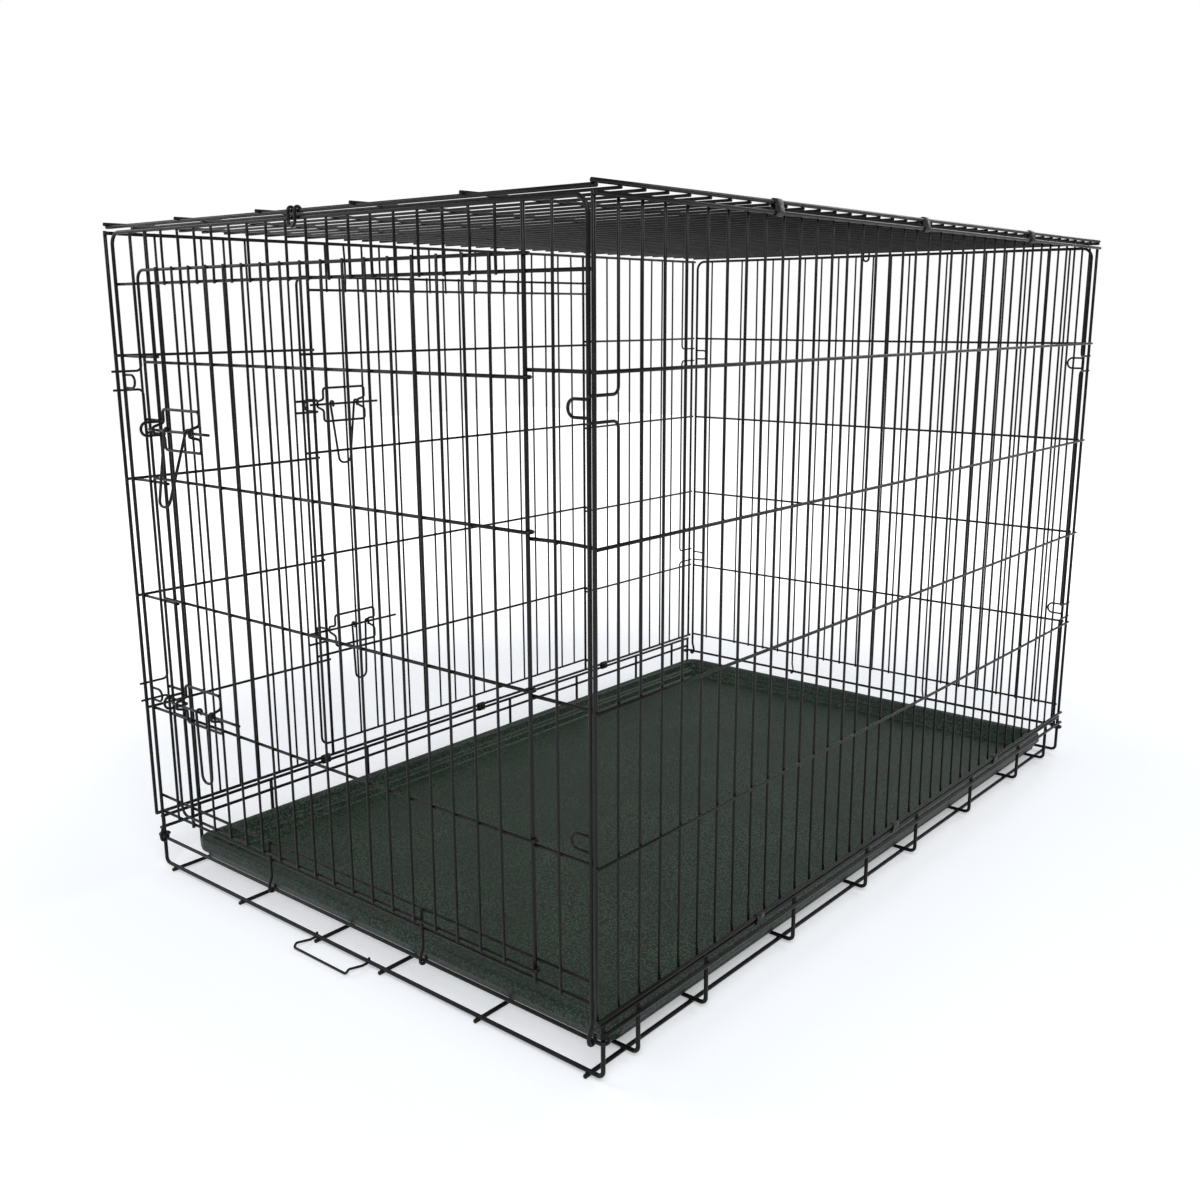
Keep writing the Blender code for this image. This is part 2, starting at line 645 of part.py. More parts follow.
def top_panel(parent):
    """Cross wires below, long wires above, on frame wires all round."""
    cross_z = TOP_CROSS_Z
    edge = TOP_HALF_WIDTH + FRAME_R * 0.6
    pitch = 2 * END_PLANE / SIDE_BAYS
    cross = []
    for bay in range(SIDE_BAYS + 1):
        y = bay * pitch - END_PLANE
        gauge = FRAME_GAUGE if bay in (0, SIDE_BAYS) else FILL_GAUGE
        cross.append(Wire([Vector((-edge, y, cross_z)), Vector((edge, y, cross_z))], gauge, Z_AXIS))
    reach = END_PLANE + FRAME_R + WIRE_NUB
    thin_z = TOP_CROSS_Z + CROSS_LAYER
    shares = [hand * share for hand in (-1, 1) for share in TOP_LONG_SHARES]
    columns = [(share * TOP_HALF_WIDTH, thin_z, CROSS_GAUGE) for share in shares]
    columns += [(hand * TOP_HALF_WIDTH, TOP_Z, FRAME_GAUGE) for hand in (-1, 1)]
    rails = []
    for x, z, gauge in columns:
        rails.append(Wire([Vector((x, -reach, z)), Vector((x, reach, z))], gauge, Z_AXIS))
    pivot = Vector((RIGHT_PLANE + END_LAYER, 0, SIDE_TOP))
    return weld("top_panel", [cross, rails], BLACK_COAT, pivot, parent)


def top_catch(name, place, parent):
    """A wire hook on the end wire of the top that hangs over an end panel's top wire."""
    z = TOP_CROSS_Z
    route = []
    for hand in (-1, 1):
        centre = place(CATCH_X + hand * CATCH_WIDTH / 2, 0, z)
        eye = curl(centre, outward(place), Z_AXIS, CATCH_EYE, 160, 3)
        route.extend(eye if hand < 0 else reversed(eye))
    half = len(route) // 2
    drop = Z_AXIS * CATCH_DROP
    corners = [route[half - 1], route[half - 1] - drop, route[half] - drop, route[half]]
    foot = rounded(corners, CATCH_WIDTH * 0.45)[1:-1]
    hook = Wire(route[:half] + foot + route[half:], LATCH_GAUGE, along(place))
    weld(name, [[hook]], LATCH_COAT, place(CATCH_X, 0, z), parent)


def hinge_clip(name, pin, held, y, parent):
    """A bent strip round the wire that a panel turns on and the panel's own wire."""
    axis = (held - pin).normalized()
    side = axis.cross(Y_AXIS)
    mesh = bmesh.new()
    loops = []
    for bore in (FRAME_R + TURN_GAP, FRAME_R + TURN_GAP + CLIP_WALL):
        radius = bore / math.cos(math.radians(30))
        outline = arc(held, side, axis, radius, 0, 180, 3) + arc(pin, -side, -axis, radius, 0, 180, 3)
        for end in (y - CLIP_LENGTH / 2, y + CLIP_LENGTH / 2):
            loops.append([mesh.verts.new((p.x, end, p.z)) for p in outline])
    inner_near, inner_far, outer_near, outer_far = loops
    count = len(inner_near)
    for first, second in (
        (inner_near, inner_far), (inner_far, outer_far), (outer_far, outer_near), (outer_near, inner_near),
    ):
        for k in range(count):
            n = (k + 1) % count
            mesh.faces.new((first[k], first[n], second[n], second[k]))
    make_object(name, mesh, CLIP_STEEL, Vector((pin.x, y, pin.z)), parent)


def hinge_clips(right_piece, left_piece, top_piece):
    right_pin = Vector((FOOT_HALF_WIDTH, 0, RIGHT_RAIL_Z))
    right_held = Vector((RIGHT_PLANE + END_LAYER, 0, RIGHT_RAIL_Z + RAIL_TO_PANEL))
    left_pin = Vector((-FOOT_HALF_WIDTH, 0, LEFT_RAIL_Z))
    left_held = Vector((-LEFT_PLANE + END_LAYER, 0, LEFT_RAIL_Z + RAIL_TO_PANEL))
    top_pin = Vector((RIGHT_PLANE + END_LAYER, 0, SIDE_TOP))
    top_held = Vector((TOP_HALF_WIDTH, 0, TOP_Z))
    for number, bay in enumerate(CLIP_BAYS, start=1):
        y = side_bar(bay)
        hinge_clip(f"right_clip_{number}", right_pin, right_held, y, right_piece)
        hinge_clip(f"left_clip_{number}", left_pin, left_held, y, left_piece)
        hinge_clip(f"top_clip_{number}", top_pin, top_held, y, top_piece)


def tray():
    """A thin moulded tray: flared wall, flat lip and a step inside."""
    lip_under = TRAY_TOP - TRAY_WALL
    inner = TRAY_LIP + TRAY_WALL
    step_z = TRAY_FLOOR + TRAY_WALL + TRAY_STEP_HEIGHT
    round_off = TRAY_WALL / 2
    section = [
        (TRAY_LIP + TRAY_DRAFT, TRAY_FLOOR),
        (TRAY_LIP, lip_under),
        (0, lip_under),
        (0, TRAY_TOP - round_off),
        (round_off, TRAY_TOP),
        (TRAY_LIP, TRAY_TOP),
        (inner, TRAY_TOP - round_off),
        (inner + TRAY_DRAFT / 2, step_z),
        (inner + TRAY_DRAFT / 2 + TRAY_STEP_WIDTH, step_z - round_off),
        (inner + TRAY_DRAFT + TRAY_STEP_WIDTH, TRAY_FLOOR + TRAY_WALL),
    ]
    mesh = bmesh.new()
    loops = []
    for inset, z in section:
        radius = max(TRAY_CORNER - inset, TRAY_WALL)
        x_half = TRAY_HALF_WIDTH - inset - radius
        corners = [
            (X_AXIS, Y_AXIS, x_half, TRAY_BACK - inset - radius),
            (Y_AXIS, -X_AXIS, -x_half, TRAY_BACK - inset - radius),
            (-X_AXIS, -Y_AXIS, -x_half, TRAY_FRONT + inset + radius),
            (-Y_AXIS, X_AXIS, x_half, TRAY_FRONT + inset + radius),
        ]
        points = []
        for first, second, x, y in corners:
            points += arc(Vector((x, y, z)), first, second, radius, 0, 90, 4)
        loops.append([mesh.verts.new(p) for p in points])
    for lower, upper in zip(loops, loops[1:]):
        for k in range(len(lower)):
            n = (k + 1) % len(lower)
            mesh.faces.new((lower[k], lower[n], upper[n], upper[k]))
    mesh.faces.new(list(reversed(loops[0])))
    mesh.faces.new(loops[-1])
    return make_object("tray", mesh, TRAY_PLASTIC, Vector((0, 0, TRAY_FLOOR)))


def tray_stop():
    """A wire flap hooked under the front hoop; it swings up in front of the tray."""
    floor_z = HOOP_Z - STOP_EYE
    raised = HOOP_Z - FILL_R / 4
    route = []
    outer_x = -RUNNER_SHARES[0] * FOOT_HALF_WIDTH - STOP_FROM_RUNNER
    for x in (outer_x, outer_x + STOP_SPREAD):
        centre = Vector((x, -END_ROW, HOOP_Z))
        arm = curl(centre, -Z_AXIS, Y_AXIS, STOP_EYE, 105, 3)
        arm.append(Vector((x, -END_ROW - STOP_RISE, floor_z)))
        arm.append(Vector((x, -END_ROW - 2 * STOP_RISE, raised)))
        arm.append(Vector((x, -END_ROW - STOP_REACH + STOP_DROP, raised)))
        arm.append(Vector((x, -END_ROW - STOP_REACH, floor_z)))
        route.extend(arm if x == outer_x else reversed(arm))
    flap = Wire(route, FILL_GAUGE, Z_AXIS)
    return weld("tray_stop", [[flap]], LATCH_COAT, Vector((outer_x, -END_ROW, HOOP_Z)))


base_frame()
tray()
tray_stop()
front_piece = front_panel()
rear_piece = rear_panel()
right_piece = right_panel()
left_piece = left_panel()
top_piece = top_panel(right_piece)
top_catch("front_catch", front, top_piece)
top_catch("rear_catch", rear, top_piece)
hinge_clips(right_piece, left_piece, top_piece)
front_door = door("front_door", front, -FRONT_OPENING, FRONT_OPENING, FRONT_LAST_BAR, front_piece)
side_latch_u = side_bar(LEFT_LATCH_BAY)
side_hinge_u = side_bar(LEFT_HINGE_BAY)
side_door = door("side_door", left, side_latch_u, side_hinge_u, SIDE_LAST_BAR, left_piece)
for kind, height in enumerate(("lower", "upper")):
    lean = UPPER_HANDLE_LEAN * kind
    z = FRONT_LATCHES[kind]
    latch(f"front_{height}", front, -FRONT_OPENING, z, kind, lean, front_door, front_piece)
    latch(f"side_{height}", left, side_latch_u, SIDE_LATCHES[kind], kind, 0, side_door, left_piece)
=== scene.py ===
import math

import bpy
import numpy as np
from mathutils import Matrix


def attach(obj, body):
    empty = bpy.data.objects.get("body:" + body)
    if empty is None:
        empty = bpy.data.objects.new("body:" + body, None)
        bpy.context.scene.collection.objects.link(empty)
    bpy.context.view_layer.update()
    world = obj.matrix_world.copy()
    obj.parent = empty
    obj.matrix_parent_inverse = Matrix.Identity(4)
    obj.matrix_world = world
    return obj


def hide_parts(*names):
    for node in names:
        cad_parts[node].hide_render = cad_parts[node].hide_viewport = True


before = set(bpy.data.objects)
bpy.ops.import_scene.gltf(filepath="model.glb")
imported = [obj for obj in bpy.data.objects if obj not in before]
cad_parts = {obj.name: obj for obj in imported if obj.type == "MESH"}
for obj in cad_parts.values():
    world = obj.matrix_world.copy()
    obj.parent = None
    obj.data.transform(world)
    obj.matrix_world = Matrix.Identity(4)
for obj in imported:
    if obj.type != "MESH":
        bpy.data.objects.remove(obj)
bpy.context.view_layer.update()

# Looks of the folding wire dog crate: round coated wires, welds, sheet clips
# and a moulded tray, each standing where the solids of the part stand.


X_WAY = np.array((1.0, 0.0, 0.0))
Y_WAY = np.array((0.0, 1.0, 0.0))
Z_WAY = np.array((0.0, 0.0, 1.0))

# Wire diameters
BASE_WIRE = 0.0048
FRAME_WIRE = 0.0044
CROSS_WIRE = 0.0036
FILL_WIRE = 0.0030
LATCH_WIRE = 0.0034

# How fine the round sections, bends and long wires are drawn
SECTION_SIDES = 12
BEND_STEPS = 6
WIDE_BEND_STEPS = 8
EYE_STEPS = 12
LONG_STEPS = 16

# Gaps, ends and turns that several wires share
TURN_GAP = 0.0004
WIRE_NUB = 0.0022
CROSS_NUB = 0.0021
TIP_SHARE = 0.28
ODD_WAY = (0.31, 0.52, 0.79)
EYE_TURN = 225
FOOT_ROUND = 0.46

# Standard deviation of the bow of drawn wire, by the weight of the wire
FINE_BOW = 0.0006
CROSS_BOW = 0.0004
HEAVY_BOW = 0.0003
LONG_BOW = 0.0005
RAIL_BOW = 0.0002
BOLT_BOW = 0.0001

# Welds: half sizes, and the latitudes of the rings of an egg
WELD_SINK = 0.00035
WELD_SIDE = 0.0021
WELD_THICK = 0.0013
WELD_SWELL = (0.85, 1.15)
WELD_RINGS = (-72, -28, 28, 72)
WELD_SIDES = 8
HEAVY_WELD = 1.1
RAIL_WELD = (0.0022, 0.0024, 0.0016)
RAIL_WELD_OUT = 0.0026
RUNNER_WELD = (0.0026, 0.0026, 0.0014)
RUNNER_WELD_DROP = 0.0025

# Floor frame
FOOT_HALF_WIDTH = 0.385
END_ROW = 0.60182
HOOP_ROWS = (0.071, 0.250, 0.429, 0.547, END_ROW)
HOOP_Z = 0.00744
HOOP_BEND = 0.007
RUNNER_Z = 0.0025
RUNNER_COLUMNS = (0.058, 0.212, 0.365)
RUNNER_NUB = 0.0018
RIGHT_RAIL_Z = 0.065
LEFT_RAIL_Z = 0.074
LOWER_RAIL_Z = 0.0565
RAIL_SINK = 0.0004
RAIL_PRESS = 0.0001
ROD_Z = 0.048
ROD_TURN = 200

# End panels
END_HALF_WIDTH = 0.376
END_PLANE = 0.6075
END_TOP = 0.828
END_BOTTOM = 0.084
END_SILL = 0.107
END_CORNER = 0.015
HEADER_Z = 0.768
HEAD_SINK = 0.001
HOOK_COLUMN = 0.136
SILL_NUB = 0.0023
ROD_HOOK_BEND = 0.006
ROD_HOOK_BEND_STEPS = 3
ROD_HOOK_STEP = (0.6, 3.4, 5.0)
OUTLINE_START = 0.040
FRONT_OPENING = 0.302
FRONT_STRIP = 0.336
FRONT_HEADER_BAYS = 18
REAR_BAYS = 22

# Side panels
SIDE_HALF_LENGTH = 0.609
SIDE_BAYS = 37
SIDE_PITCH = 2 * SIDE_HALF_LENGTH / SIDE_BAYS
RIGHT_FRAME_X = 0.38656
LEFT_PLANE = 0.3885
SIDE_TOP = 0.828
SIDE_HEADER_Z = 0.765
RAIL_TO_PANEL = 0.0065
LEFT_LATCH_BAY = 9
LEFT_HINGE_BAY = 27
LEVELS = (0.229, 0.380, 0.5305, 0.683)
HOOK_LEVELS = (0.250, 0.652)
HOOK_HALF_GAP = 0.0115
HOOK_PAST_PLANE = 0.0085
HOOK_BEND = 0.007
LOOP_DEPTH = 0.024
LOOP_HALF_HEIGHT = 0.008
LOOP_SINK = 0.0008
LOOP_ROUND = 0.95

# Top panel
TOP_Z = 0.838
TOP_HALF_WIDTH = 0.384
TOP_NUB = 0.0015
TOP_LONG_COLUMNS = (0.0768, 0.2304)
CATCH_X = -0.0168
CATCH_WIDTH = 0.011
CATCH_DROP = 0.015
CATCH_GAP = 0.0002
CATCH_TURN = 160
CATCH_ROUND = 0.47

# Doors
DOOR_TOP = 0.783
DOOR_BOTTOM = 0.097
DOOR_LAP = 0.016
DOOR_CORNER = 0.012
DOOR_LEVEL_SHIFT = (0.0062, 0.0064, 0.0068, -0.0062)
DOOR_BARS = 17
DOOR_FIRST_BAR = 0.028
DOOR_PITCH = 0.0338

# Latches, lower then upper
FRONT_LATCHES = (0.258, 0.599)
SIDE_LATCHES = (0.266, 0.604)
BOLT_OUT = 0.0207
BOLT_DRAWN = 0.018
BOLT_TIP = 0.009
BOLT_LENGTH = (0.143, 0.124)
GUIDE_START = 0.0245
GUIDE_WIDTH = 0.075
GUIDE_HALF_HEIGHT = 0.024
GUIDE_KINK = 0.008
GUIDE_BEND = 0.0045
GUIDE_BEND_STEPS = 4
GUIDE_BEND_SHARE = 0.3
KEEPER_HALF_GAP = 0.008
KEEPER_SETBACK = 0.036
KEEPER_BEND = 0.004
KEEPER_WELD_SHARE = 0.94
HANDLE_START = (0.050, 0.030)
HANDLE_WIDTH = (0.026, 0.044)
HANDLE_FOOT = 0.020
HANDLE_DROP = 0.088
HANDLE_TURN = 240
HANDLE_LEAN = math.radians(14)

# Tray
TRAY_HALF_WIDTH = 0.368
TRAY_FRONT = -0.570
TRAY_BACK = 0.590
TRAY_CORNER = 0.024
TRAY_LEAST_CORNER = 0.003
TRAY_CORNER_DRAW = 0.75
TRAY_CORNER_STEPS = 12
# Inset from the tray's edge and height, from under the floor over the lip to inside
TRAY_SECTION = (
    (0.0145, 0.0101), (0.0112, 0.0106), (0.0090, 0.0124), (0.0082, 0.0145),
    (0.0058, 0.0236), (0.0052, 0.0248), (0.0040, 0.0252), (0.0014, 0.0252),
    (0.0004, 0.0256), (0.0, 0.0266), (0.0001, 0.0290), (0.0008, 0.0350),
    (0.0014, 0.0374), (0.0026, 0.0385), (0.0055, 0.0388), (0.0115, 0.0387),
    (0.0138, 0.0381), (0.0148, 0.0365), (0.0158, 0.0325), (0.0172, 0.0272),
    (0.0180, 0.0258), (0.0196, 0.0251), (0.0262, 0.0248), (0.0278, 0.0241),
    (0.0287, 0.0222), (0.0296, 0.0160), (0.0308, 0.0139), (0.0330, 0.0131),
    (0.0420, 0.0130),
)

# Tray stop
STOP_CENTRE = -0.017
STOP_EYE_SPREAD = 0.096
STOP_REACH = 0.030
STOP_RISE = 0.006
STOP_DROP = 0.004
STOP_SINK = 0.0003
STOP_GAP = 0.0003
STOP_TURN = 105
STOP_EYE_STEPS = 8
STOP_BEND = 0.003
STOP_BEND_STEPS = 4

# Hinge clips
CLIP_LENGTH = 0.014
CLIP_WALL = 0.0011
CLIP_ROUND = 0.3
CLIP_STEPS = 10
CLIP_BAYS = (8.5, 18.5, 28.5)

# Colours: where a finish is deep or clean, and where it is pale or worn
WIRE_BLACK = (0.0050, 0.0046, 0.0047, 1)
WIRE_DUST = (0.012, 0.011, 0.011, 1)
LATCH_BLACK = (0.0065, 0.0060, 0.0060, 1)
LATCH_WORN = (0.022, 0.020, 0.019, 1)
CLIP_DARK = (0.022, 0.021, 0.021, 1)
CLIP_WORN = (0.075, 0.07, 0.066, 1)
TRAY_DEEP = (0.034, 0.062, 0.040, 1)
TRAY_PALE = (0.054, 0.092, 0.062, 1)
# Painted shade: a darker colour for the hollows of the tray's pebble grain
TRAY_PIT_SHADE = (0.014, 0.022, 0.016, 1)
TRAY_SCUFF = (0.07, 0.08, 0.073, 1)

rng = np.random.default_rng(48)


def layer(first, second):
    """Centre distance of two wires welded across each other."""
    return (first + second) / 2 - WELD_SINK


CROSS_LAYER = layer(FILL_WIRE, CROSS_WIRE)
END_LAYER = layer(FILL_WIRE, FRAME_WIRE)
KEEPER_LAYER = layer(FRAME_WIRE, LATCH_WIRE)
RIGHT_PLANE = RIGHT_FRAME_X - END_LAYER
DOOR_LAYER = (FRAME_WIRE + CROSS_WIRE) / 2 + TURN_GAP
BAR_LAYER = DOOR_LAYER + CROSS_LAYER
GUIDE_OUT = BAR_LAYER + layer(FILL_WIRE, LATCH_WIRE)
HANDLE_EYE = LATCH_WIRE + TURN_GAP
BULGE_OUT = BOLT_OUT + LATCH_WIRE + TURN_GAP
TOP_CROSS_Z = TOP_Z - END_LAYER
ROD_EYE = END_PLANE - END_ROW


def front(u, out, z):
    """A point of the front panel: u to the right, out of the crate, up."""
    return np.array((u, -END_PLANE - out, z))


def rear(u, out, z):
    """A point of the rear panel: u to the right, out of the crate, up."""
    return np.array((u, END_PLANE + out, z))


def left(u, out, z):
    """A point of the side with the door: u to the back, out of the crate, up."""
    return np.array((-LEFT_PLANE - out, u, z))


def right(u, out, z):
    """A point of the closed side: u to the back, out of the crate, up."""
    return np.array((RIGHT_PLANE + out, u, z))


def outward(place):
    """The direction out of the crate at a panel."""
    return place(0, 1, 0) - place(0, 0, 0)


def along(place):
    """The level direction in a panel."""
    return place(1, 0, 0) - place(0, 0, 0)


def unit(vector):
    return vector / np.linalg.norm(vector)


def arc(centre, first, second, radius, start, end, steps):
    """Circle: centre + radius (first cos a + second sin a), a from start to end in degrees."""
    angle = np.radians(np.linspace(start, end, steps + 1))[:, None]
    return list(centre + radius * (np.cos(angle) * first + np.sin(angle) * second))


def curl(centre, first, second, radius, turn=EYE_TURN, steps=EYE_STEPS):
    """The end of a wire bent round a pin, from its tip to where it runs on straight."""
    return arc(centre, first, second, radius, turn, 0, steps)


def bend(before, corner, after, radius, steps):
    """The arc of the given radius that touches both straight runs at a corner."""
    into = unit(before - corner)
    out = unit(after - corner)
    half = math.acos(float(np.clip(into @ out, -1, 1))) / 2
    centre = corner + unit(into + out) * radius / math.sin(half)
    start = corner + into * radius / math.tan(half)
    end = corner + out * radius / math.tan(half)
    first = unit(start - centre)
    sweep = math.pi - 2 * half
    second = (unit(end - centre) - first * math.cos(sweep)) / math.sin(sweep)
    return arc(centre, first, second, radius, 0, math.degrees(sweep), steps)


def rounded(corners, radius, steps=BEND_STEPS):
    """A route through the corners with each inner corner bent to the radius."""
    route = [corners[0]]
    for before, corner, after in zip(corners, corners[1:], corners[2:]):
        route += bend(before, corner, after, radius, steps)
    return route + [corners[-1]]


def bowed(start, end, sideways, amount=CROSS_BOW, steps=8):
    """A nearly straight wire: its middle stands off by amount times a random number."""
    share = np.linspace(0, 1, steps + 1)[:, None]
    bow = rng.normal(0, amount) * np.sin(math.pi * share)
    return list(start + (end - start) * share + sideways * bow)


class WireSet:
    """All the wires of one piece, and the welds where they cross, as one mesh."""

    def __init__(self):
        self.points = []
        self.faces = []
        self.weld_marks = []
        self.count = 0

    def keep(self, grid, closed_rows, weld=0.0, caps=()):
        """Add a grid of rings; a cap closes the first or last ring with one face."""
        rows, sides, _ = grid.shape
        index = np.arange(rows * sides).reshape(rows, sides) + self.count
        lower = index if closed_rows else index[:-1]
        upper = np.roll(index, -1, 0) if closed_rows else index[1:]
        quads = np.stack((lower, np.roll(lower, -1, 1), np.roll(upper, -1, 1), upper), -1)
        self.faces += quads.reshape(-1, 4).tolist()
        self.faces += [index[-1].tolist()] if "last" in caps else []
        self.faces += [index[0][::-1].tolist()] if "first" in caps else []
        self.points.append(grid.reshape(-1, 3))
        self.weld_marks.append(np.full(rows * sides, weld))
        self.count += rows * sides

    def wire(self, route, diameter, closed=False):
        """A round section carried along the route: each ring is the one before it,
        slid along the wire onto the plane that halves the next turn."""
        route = np.array(route)
        radius = diameter / 2
        steps = np.roll(route, -1, 0) - route
        steps /= np.linalg.norm(steps, axis=1)[:, None]
        into = np.roll(steps, 1, 0)
        if not closed:
            into[0] = steps[0]
            steps[-1] = into[-1]
        normals = into + steps
        normals /= np.linalg.norm(normals, axis=1)[:, None]
        start = into[0]
        side = unit(np.cross(start, ODD_WAY))
        turn = np.linspace(0, 2 * math.pi, SECTION_SIDES, endpoint=False)[:, None]
        ring = route[0] + radius * (np.cos(turn) * side + np.sin(turn) * np.cross(start, side))
        rings = []
        for place, slide, normal in zip(route, into, normals):
            ring = ring + slide * ((place - ring) @ normal / (slide @ normal))[:, None]
            rings.append(ring)
        if not closed:
            tips = [
                centre + (edge - centre) * (1 - TIP_SHARE) + way * radius * TIP_SHARE
                for centre, edge, way in ((route[0], rings[0], -start), (route[-1], rings[-1], into[-1]))
            ]
            rings = [tips[0]] + rings + [tips[1]]
        self.keep(np.array(rings), closed, caps=() if closed else ("first", "last"))

    def nugget(self, place, first, second, third, size):
        """A weld: an egg, cos v (cos w first + sin w second) + sin v third."""
        rise = np.radians(WELD_RINGS)[:, None, None]
        turn = np.linspace(0, 2 * math.pi, WELD_SIDES, endpoint=False)[None, :, None]
        flat = np.cos(turn) * first * size[0] + np.sin(turn) * second * size[1]
        grid = place + np.cos(rise) * flat + np.sin(rise) * third * size[2]
        self.keep(grid, False, weld=1.0, caps=("first", "last"))

    def welds(self, place, us, zs, out, spread=1.0):
        """Nuggets at each crossing of uprights at us and levels at zs."""
        for z in zs:
            for u in us:
                side = WELD_SIDE * rng.uniform(*WELD_SWELL) * spread
                size = (side, side, WELD_THICK)
                self.nugget(place(u, out, z), along(place), Z_WAY, outward(place), size)

    def make(self, node, body, slot="black_coat", kind="round"):
        """Put the finished mesh in the scene in place of the solid it stands for."""
        name = f"{kind}_{node}"
        mesh = bpy.data.meshes.new(name)
        mesh.from_pydata(np.concatenate(self.points).tolist(), [], self.faces)
        mesh.polygons.foreach_set("use_smooth", np.ones(len(mesh.polygons), bool))
        marks = mesh.attributes.new("weld", "FLOAT", "POINT")
        marks.data.foreach_set("value", np.concatenate(self.weld_marks).astype(np.float32))
        mesh.materials.append(FINISHES[slot])
        piece = bpy.data.objects.new(name, mesh)
        bpy.context.scene.collection.objects.link(piece)
        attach(piece, body)
        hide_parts(node)


class Socket:
    """A value in a material, with the arithmetic that the finishes use."""

    def __init__(self, finish, socket):
        self.finish = finish
        self.socket = socket

    def math(self, operation, first, second):
        values = {0: first, 1: second}
        return self.finish.node("ShaderNodeMath", {"operation": operation}, values)

    def __add__(self, other):
        return self.math("ADD", self, other)

    def __sub__(self, other):
        return self.math("SUBTRACT", self, other)

    def __rsub__(self, other):
        return self.math("SUBTRACT", other, self)

    def __mul__(self, other):
        return self.math("MULTIPLY", self, other)

    __radd__ = __add__

    def ramp(self, low, high):
        """0 below low, 1 above high, and a smooth step between them."""
        settings = {"interpolation_type": "SMOOTHSTEP"}
        return self.finish.node("ShaderNodeMapRange", settings, {"Value": self, 1: low, 2: high})


class Finish:
    """A Principled material built from sockets."""

    def __init__(self, name, **fixed):
        self.material = bpy.data.materials.new(name)
        self.material.use_nodes = True
        self.tree = self.material.node_tree
        self.shader = self.tree.nodes["Principled BSDF"]
        for label, value in fixed.items():
            self.shader.inputs[label.replace("_", " ")].default_value = value
        self.place = self.node("ShaderNodeTexCoord", {}, {}, "Object")

    def node(self, kind, settings, values, output=0):
        made = self.tree.nodes.new(kind)
        for key, value in settings.items():
            setattr(made, key, value)
        for key, value in values.items():
            if isinstance(value, Socket):
                self.tree.links.new(value.socket, made.inputs[key])
            else:
                made.inputs[key].default_value = value
        return Socket(self, made.outputs[output])

    def noise(self, scale, detail=3.0):
        values = {"Vector": self.place, "Scale": scale, "Detail": detail, "Roughness": 0.55}
        return self.node("ShaderNodeTexNoise", {}, values)

    def blend(self, share, first, second):
        """Colour: first where share is 0 and second where it is 1."""
        values = {0: share, 6: first, 7: second}
        return self.node("ShaderNodeMix", {"data_type": "RGBA"}, values, 2)

    def feed(self, label, value):
        self.tree.links.new(value.socket, self.shader.inputs[label])

    def bump(self, height, distance, strength=1.0):
        values = {"Height": height, "Distance": distance, "Strength": strength}
        self.feed("Normal", self.node("ShaderNodeBump", {}, values))


def coated_wire(name, base, worn, roughness):
    """Thin black coat over drawn wire: orange peel, faint dust, rougher at welds."""
    finish = Finish(name, Metallic=0.0, Coat_Roughness=0.2, Specular_IOR_Level=0.16)
    broad = finish.noise(35.0)
    fine = finish.noise(900.0, 2.0)
    weld = finish.node("ShaderNodeAttribute", {"attribute_name": "weld"}, {}, "Fac")
    dust = (broad * 0.7 + fine * 0.3).ramp(0.46, 0.72)
    finish.feed("Base Color", finish.blend(dust, base, worn))
    finish.feed("Roughness", dust * 0.12 + weld * 0.14 + roughness)
    finish.feed("Coat Weight", 0.06 - weld * 0.05)
    finish.bump(fine * 0.6 + finish.noise(2600.0, 1.0) * (weld * 0.9 + 0.25), 0.00022)
    return finish.material


def sheet_clip():
    """Dark bent strip: fine grain and brighter worn patches."""
    finish = Finish("clip_sheet", Metallic=0.7)
    patches = finish.noise(160.0).ramp(0.48, 0.66)
    finish.feed("Base Color", finish.blend(patches, CLIP_DARK, CLIP_WORN))
    finish.feed("Roughness", 0.5 - patches * 0.16)
    finish.bump(finish.noise(1400.0), 0.0002, 0.7)
    return finish.material


def pebbled_plastic():
    """Moulded tray: cells of leather grain with painted shade darkening their hollows, broad sheen changes
    and light scuffs.
    """
    finish = Finish("tray_pebble", Metallic=0.0, Specular_IOR_Level=0.25)
    cells = finish.node(
        "ShaderNodeTexVoronoi", {"feature": "F1"},
        {"Vector": finish.place, "Scale": 330.0, "Randomness": 1.0},
    )
    broad = finish.noise(7.0, 4.0)
    fine = finish.noise(520.0, 2.0)
    stretch = finish.node(
        "ShaderNodeMapping", {}, {"Vector": finish.place, "Rotation": (0, 0, 0.6), "Scale": (260, 9, 9)},
    )
    streaks = finish.node("ShaderNodeTexNoise", {}, {"Vector": stretch, "Scale": 1.0, "Detail": 2.0})
    scuffs = streaks.ramp(0.66, 0.74) * broad.ramp(0.45, 0.6)
    mottled = finish.blend(broad.ramp(0.35, 0.65), TRAY_DEEP, TRAY_PALE)
    # Painted shade: the grain's hollows, which are low in the bump below, are darkened towards the pit
    # colour
    pit_shade = (cells * 1.1 + fine * 0.5).ramp(0.45, 0.95)
    mottled = finish.blend(pit_shade, mottled, TRAY_PIT_SHADE)
    finish.feed("Base Color", finish.blend(scuffs * 0.25, mottled, TRAY_SCUFF))
    finish.feed("Roughness", 0.40 + broad * 0.12 - cells * 0.08 + scuffs * 0.1)
    finish.bump(1.0 - cells * 0.8 + fine * 0.35, 0.0005, 0.6)
    return finish.material


FINISHES = {
    "black_coat": coated_wire("wire_coat", WIRE_BLACK, WIRE_DUST, 0.34),
    "latch_coat": coated_wire("latch_coat_worn", LATCH_BLACK, LATCH_WORN, 0.30),
    "clip_steel": sheet_clip(),
    "tray_plastic": pebbled_plastic(),
}


def level(wires, place, u_start, u_end, out, z, diameter=CROSS_WIRE):
    """A wire at one height of a panel, with the faint bow of drawn wire."""
    wires.wire(bowed(place(u_start, out, z), place(u_end, out, z), Z_WAY), diameter)


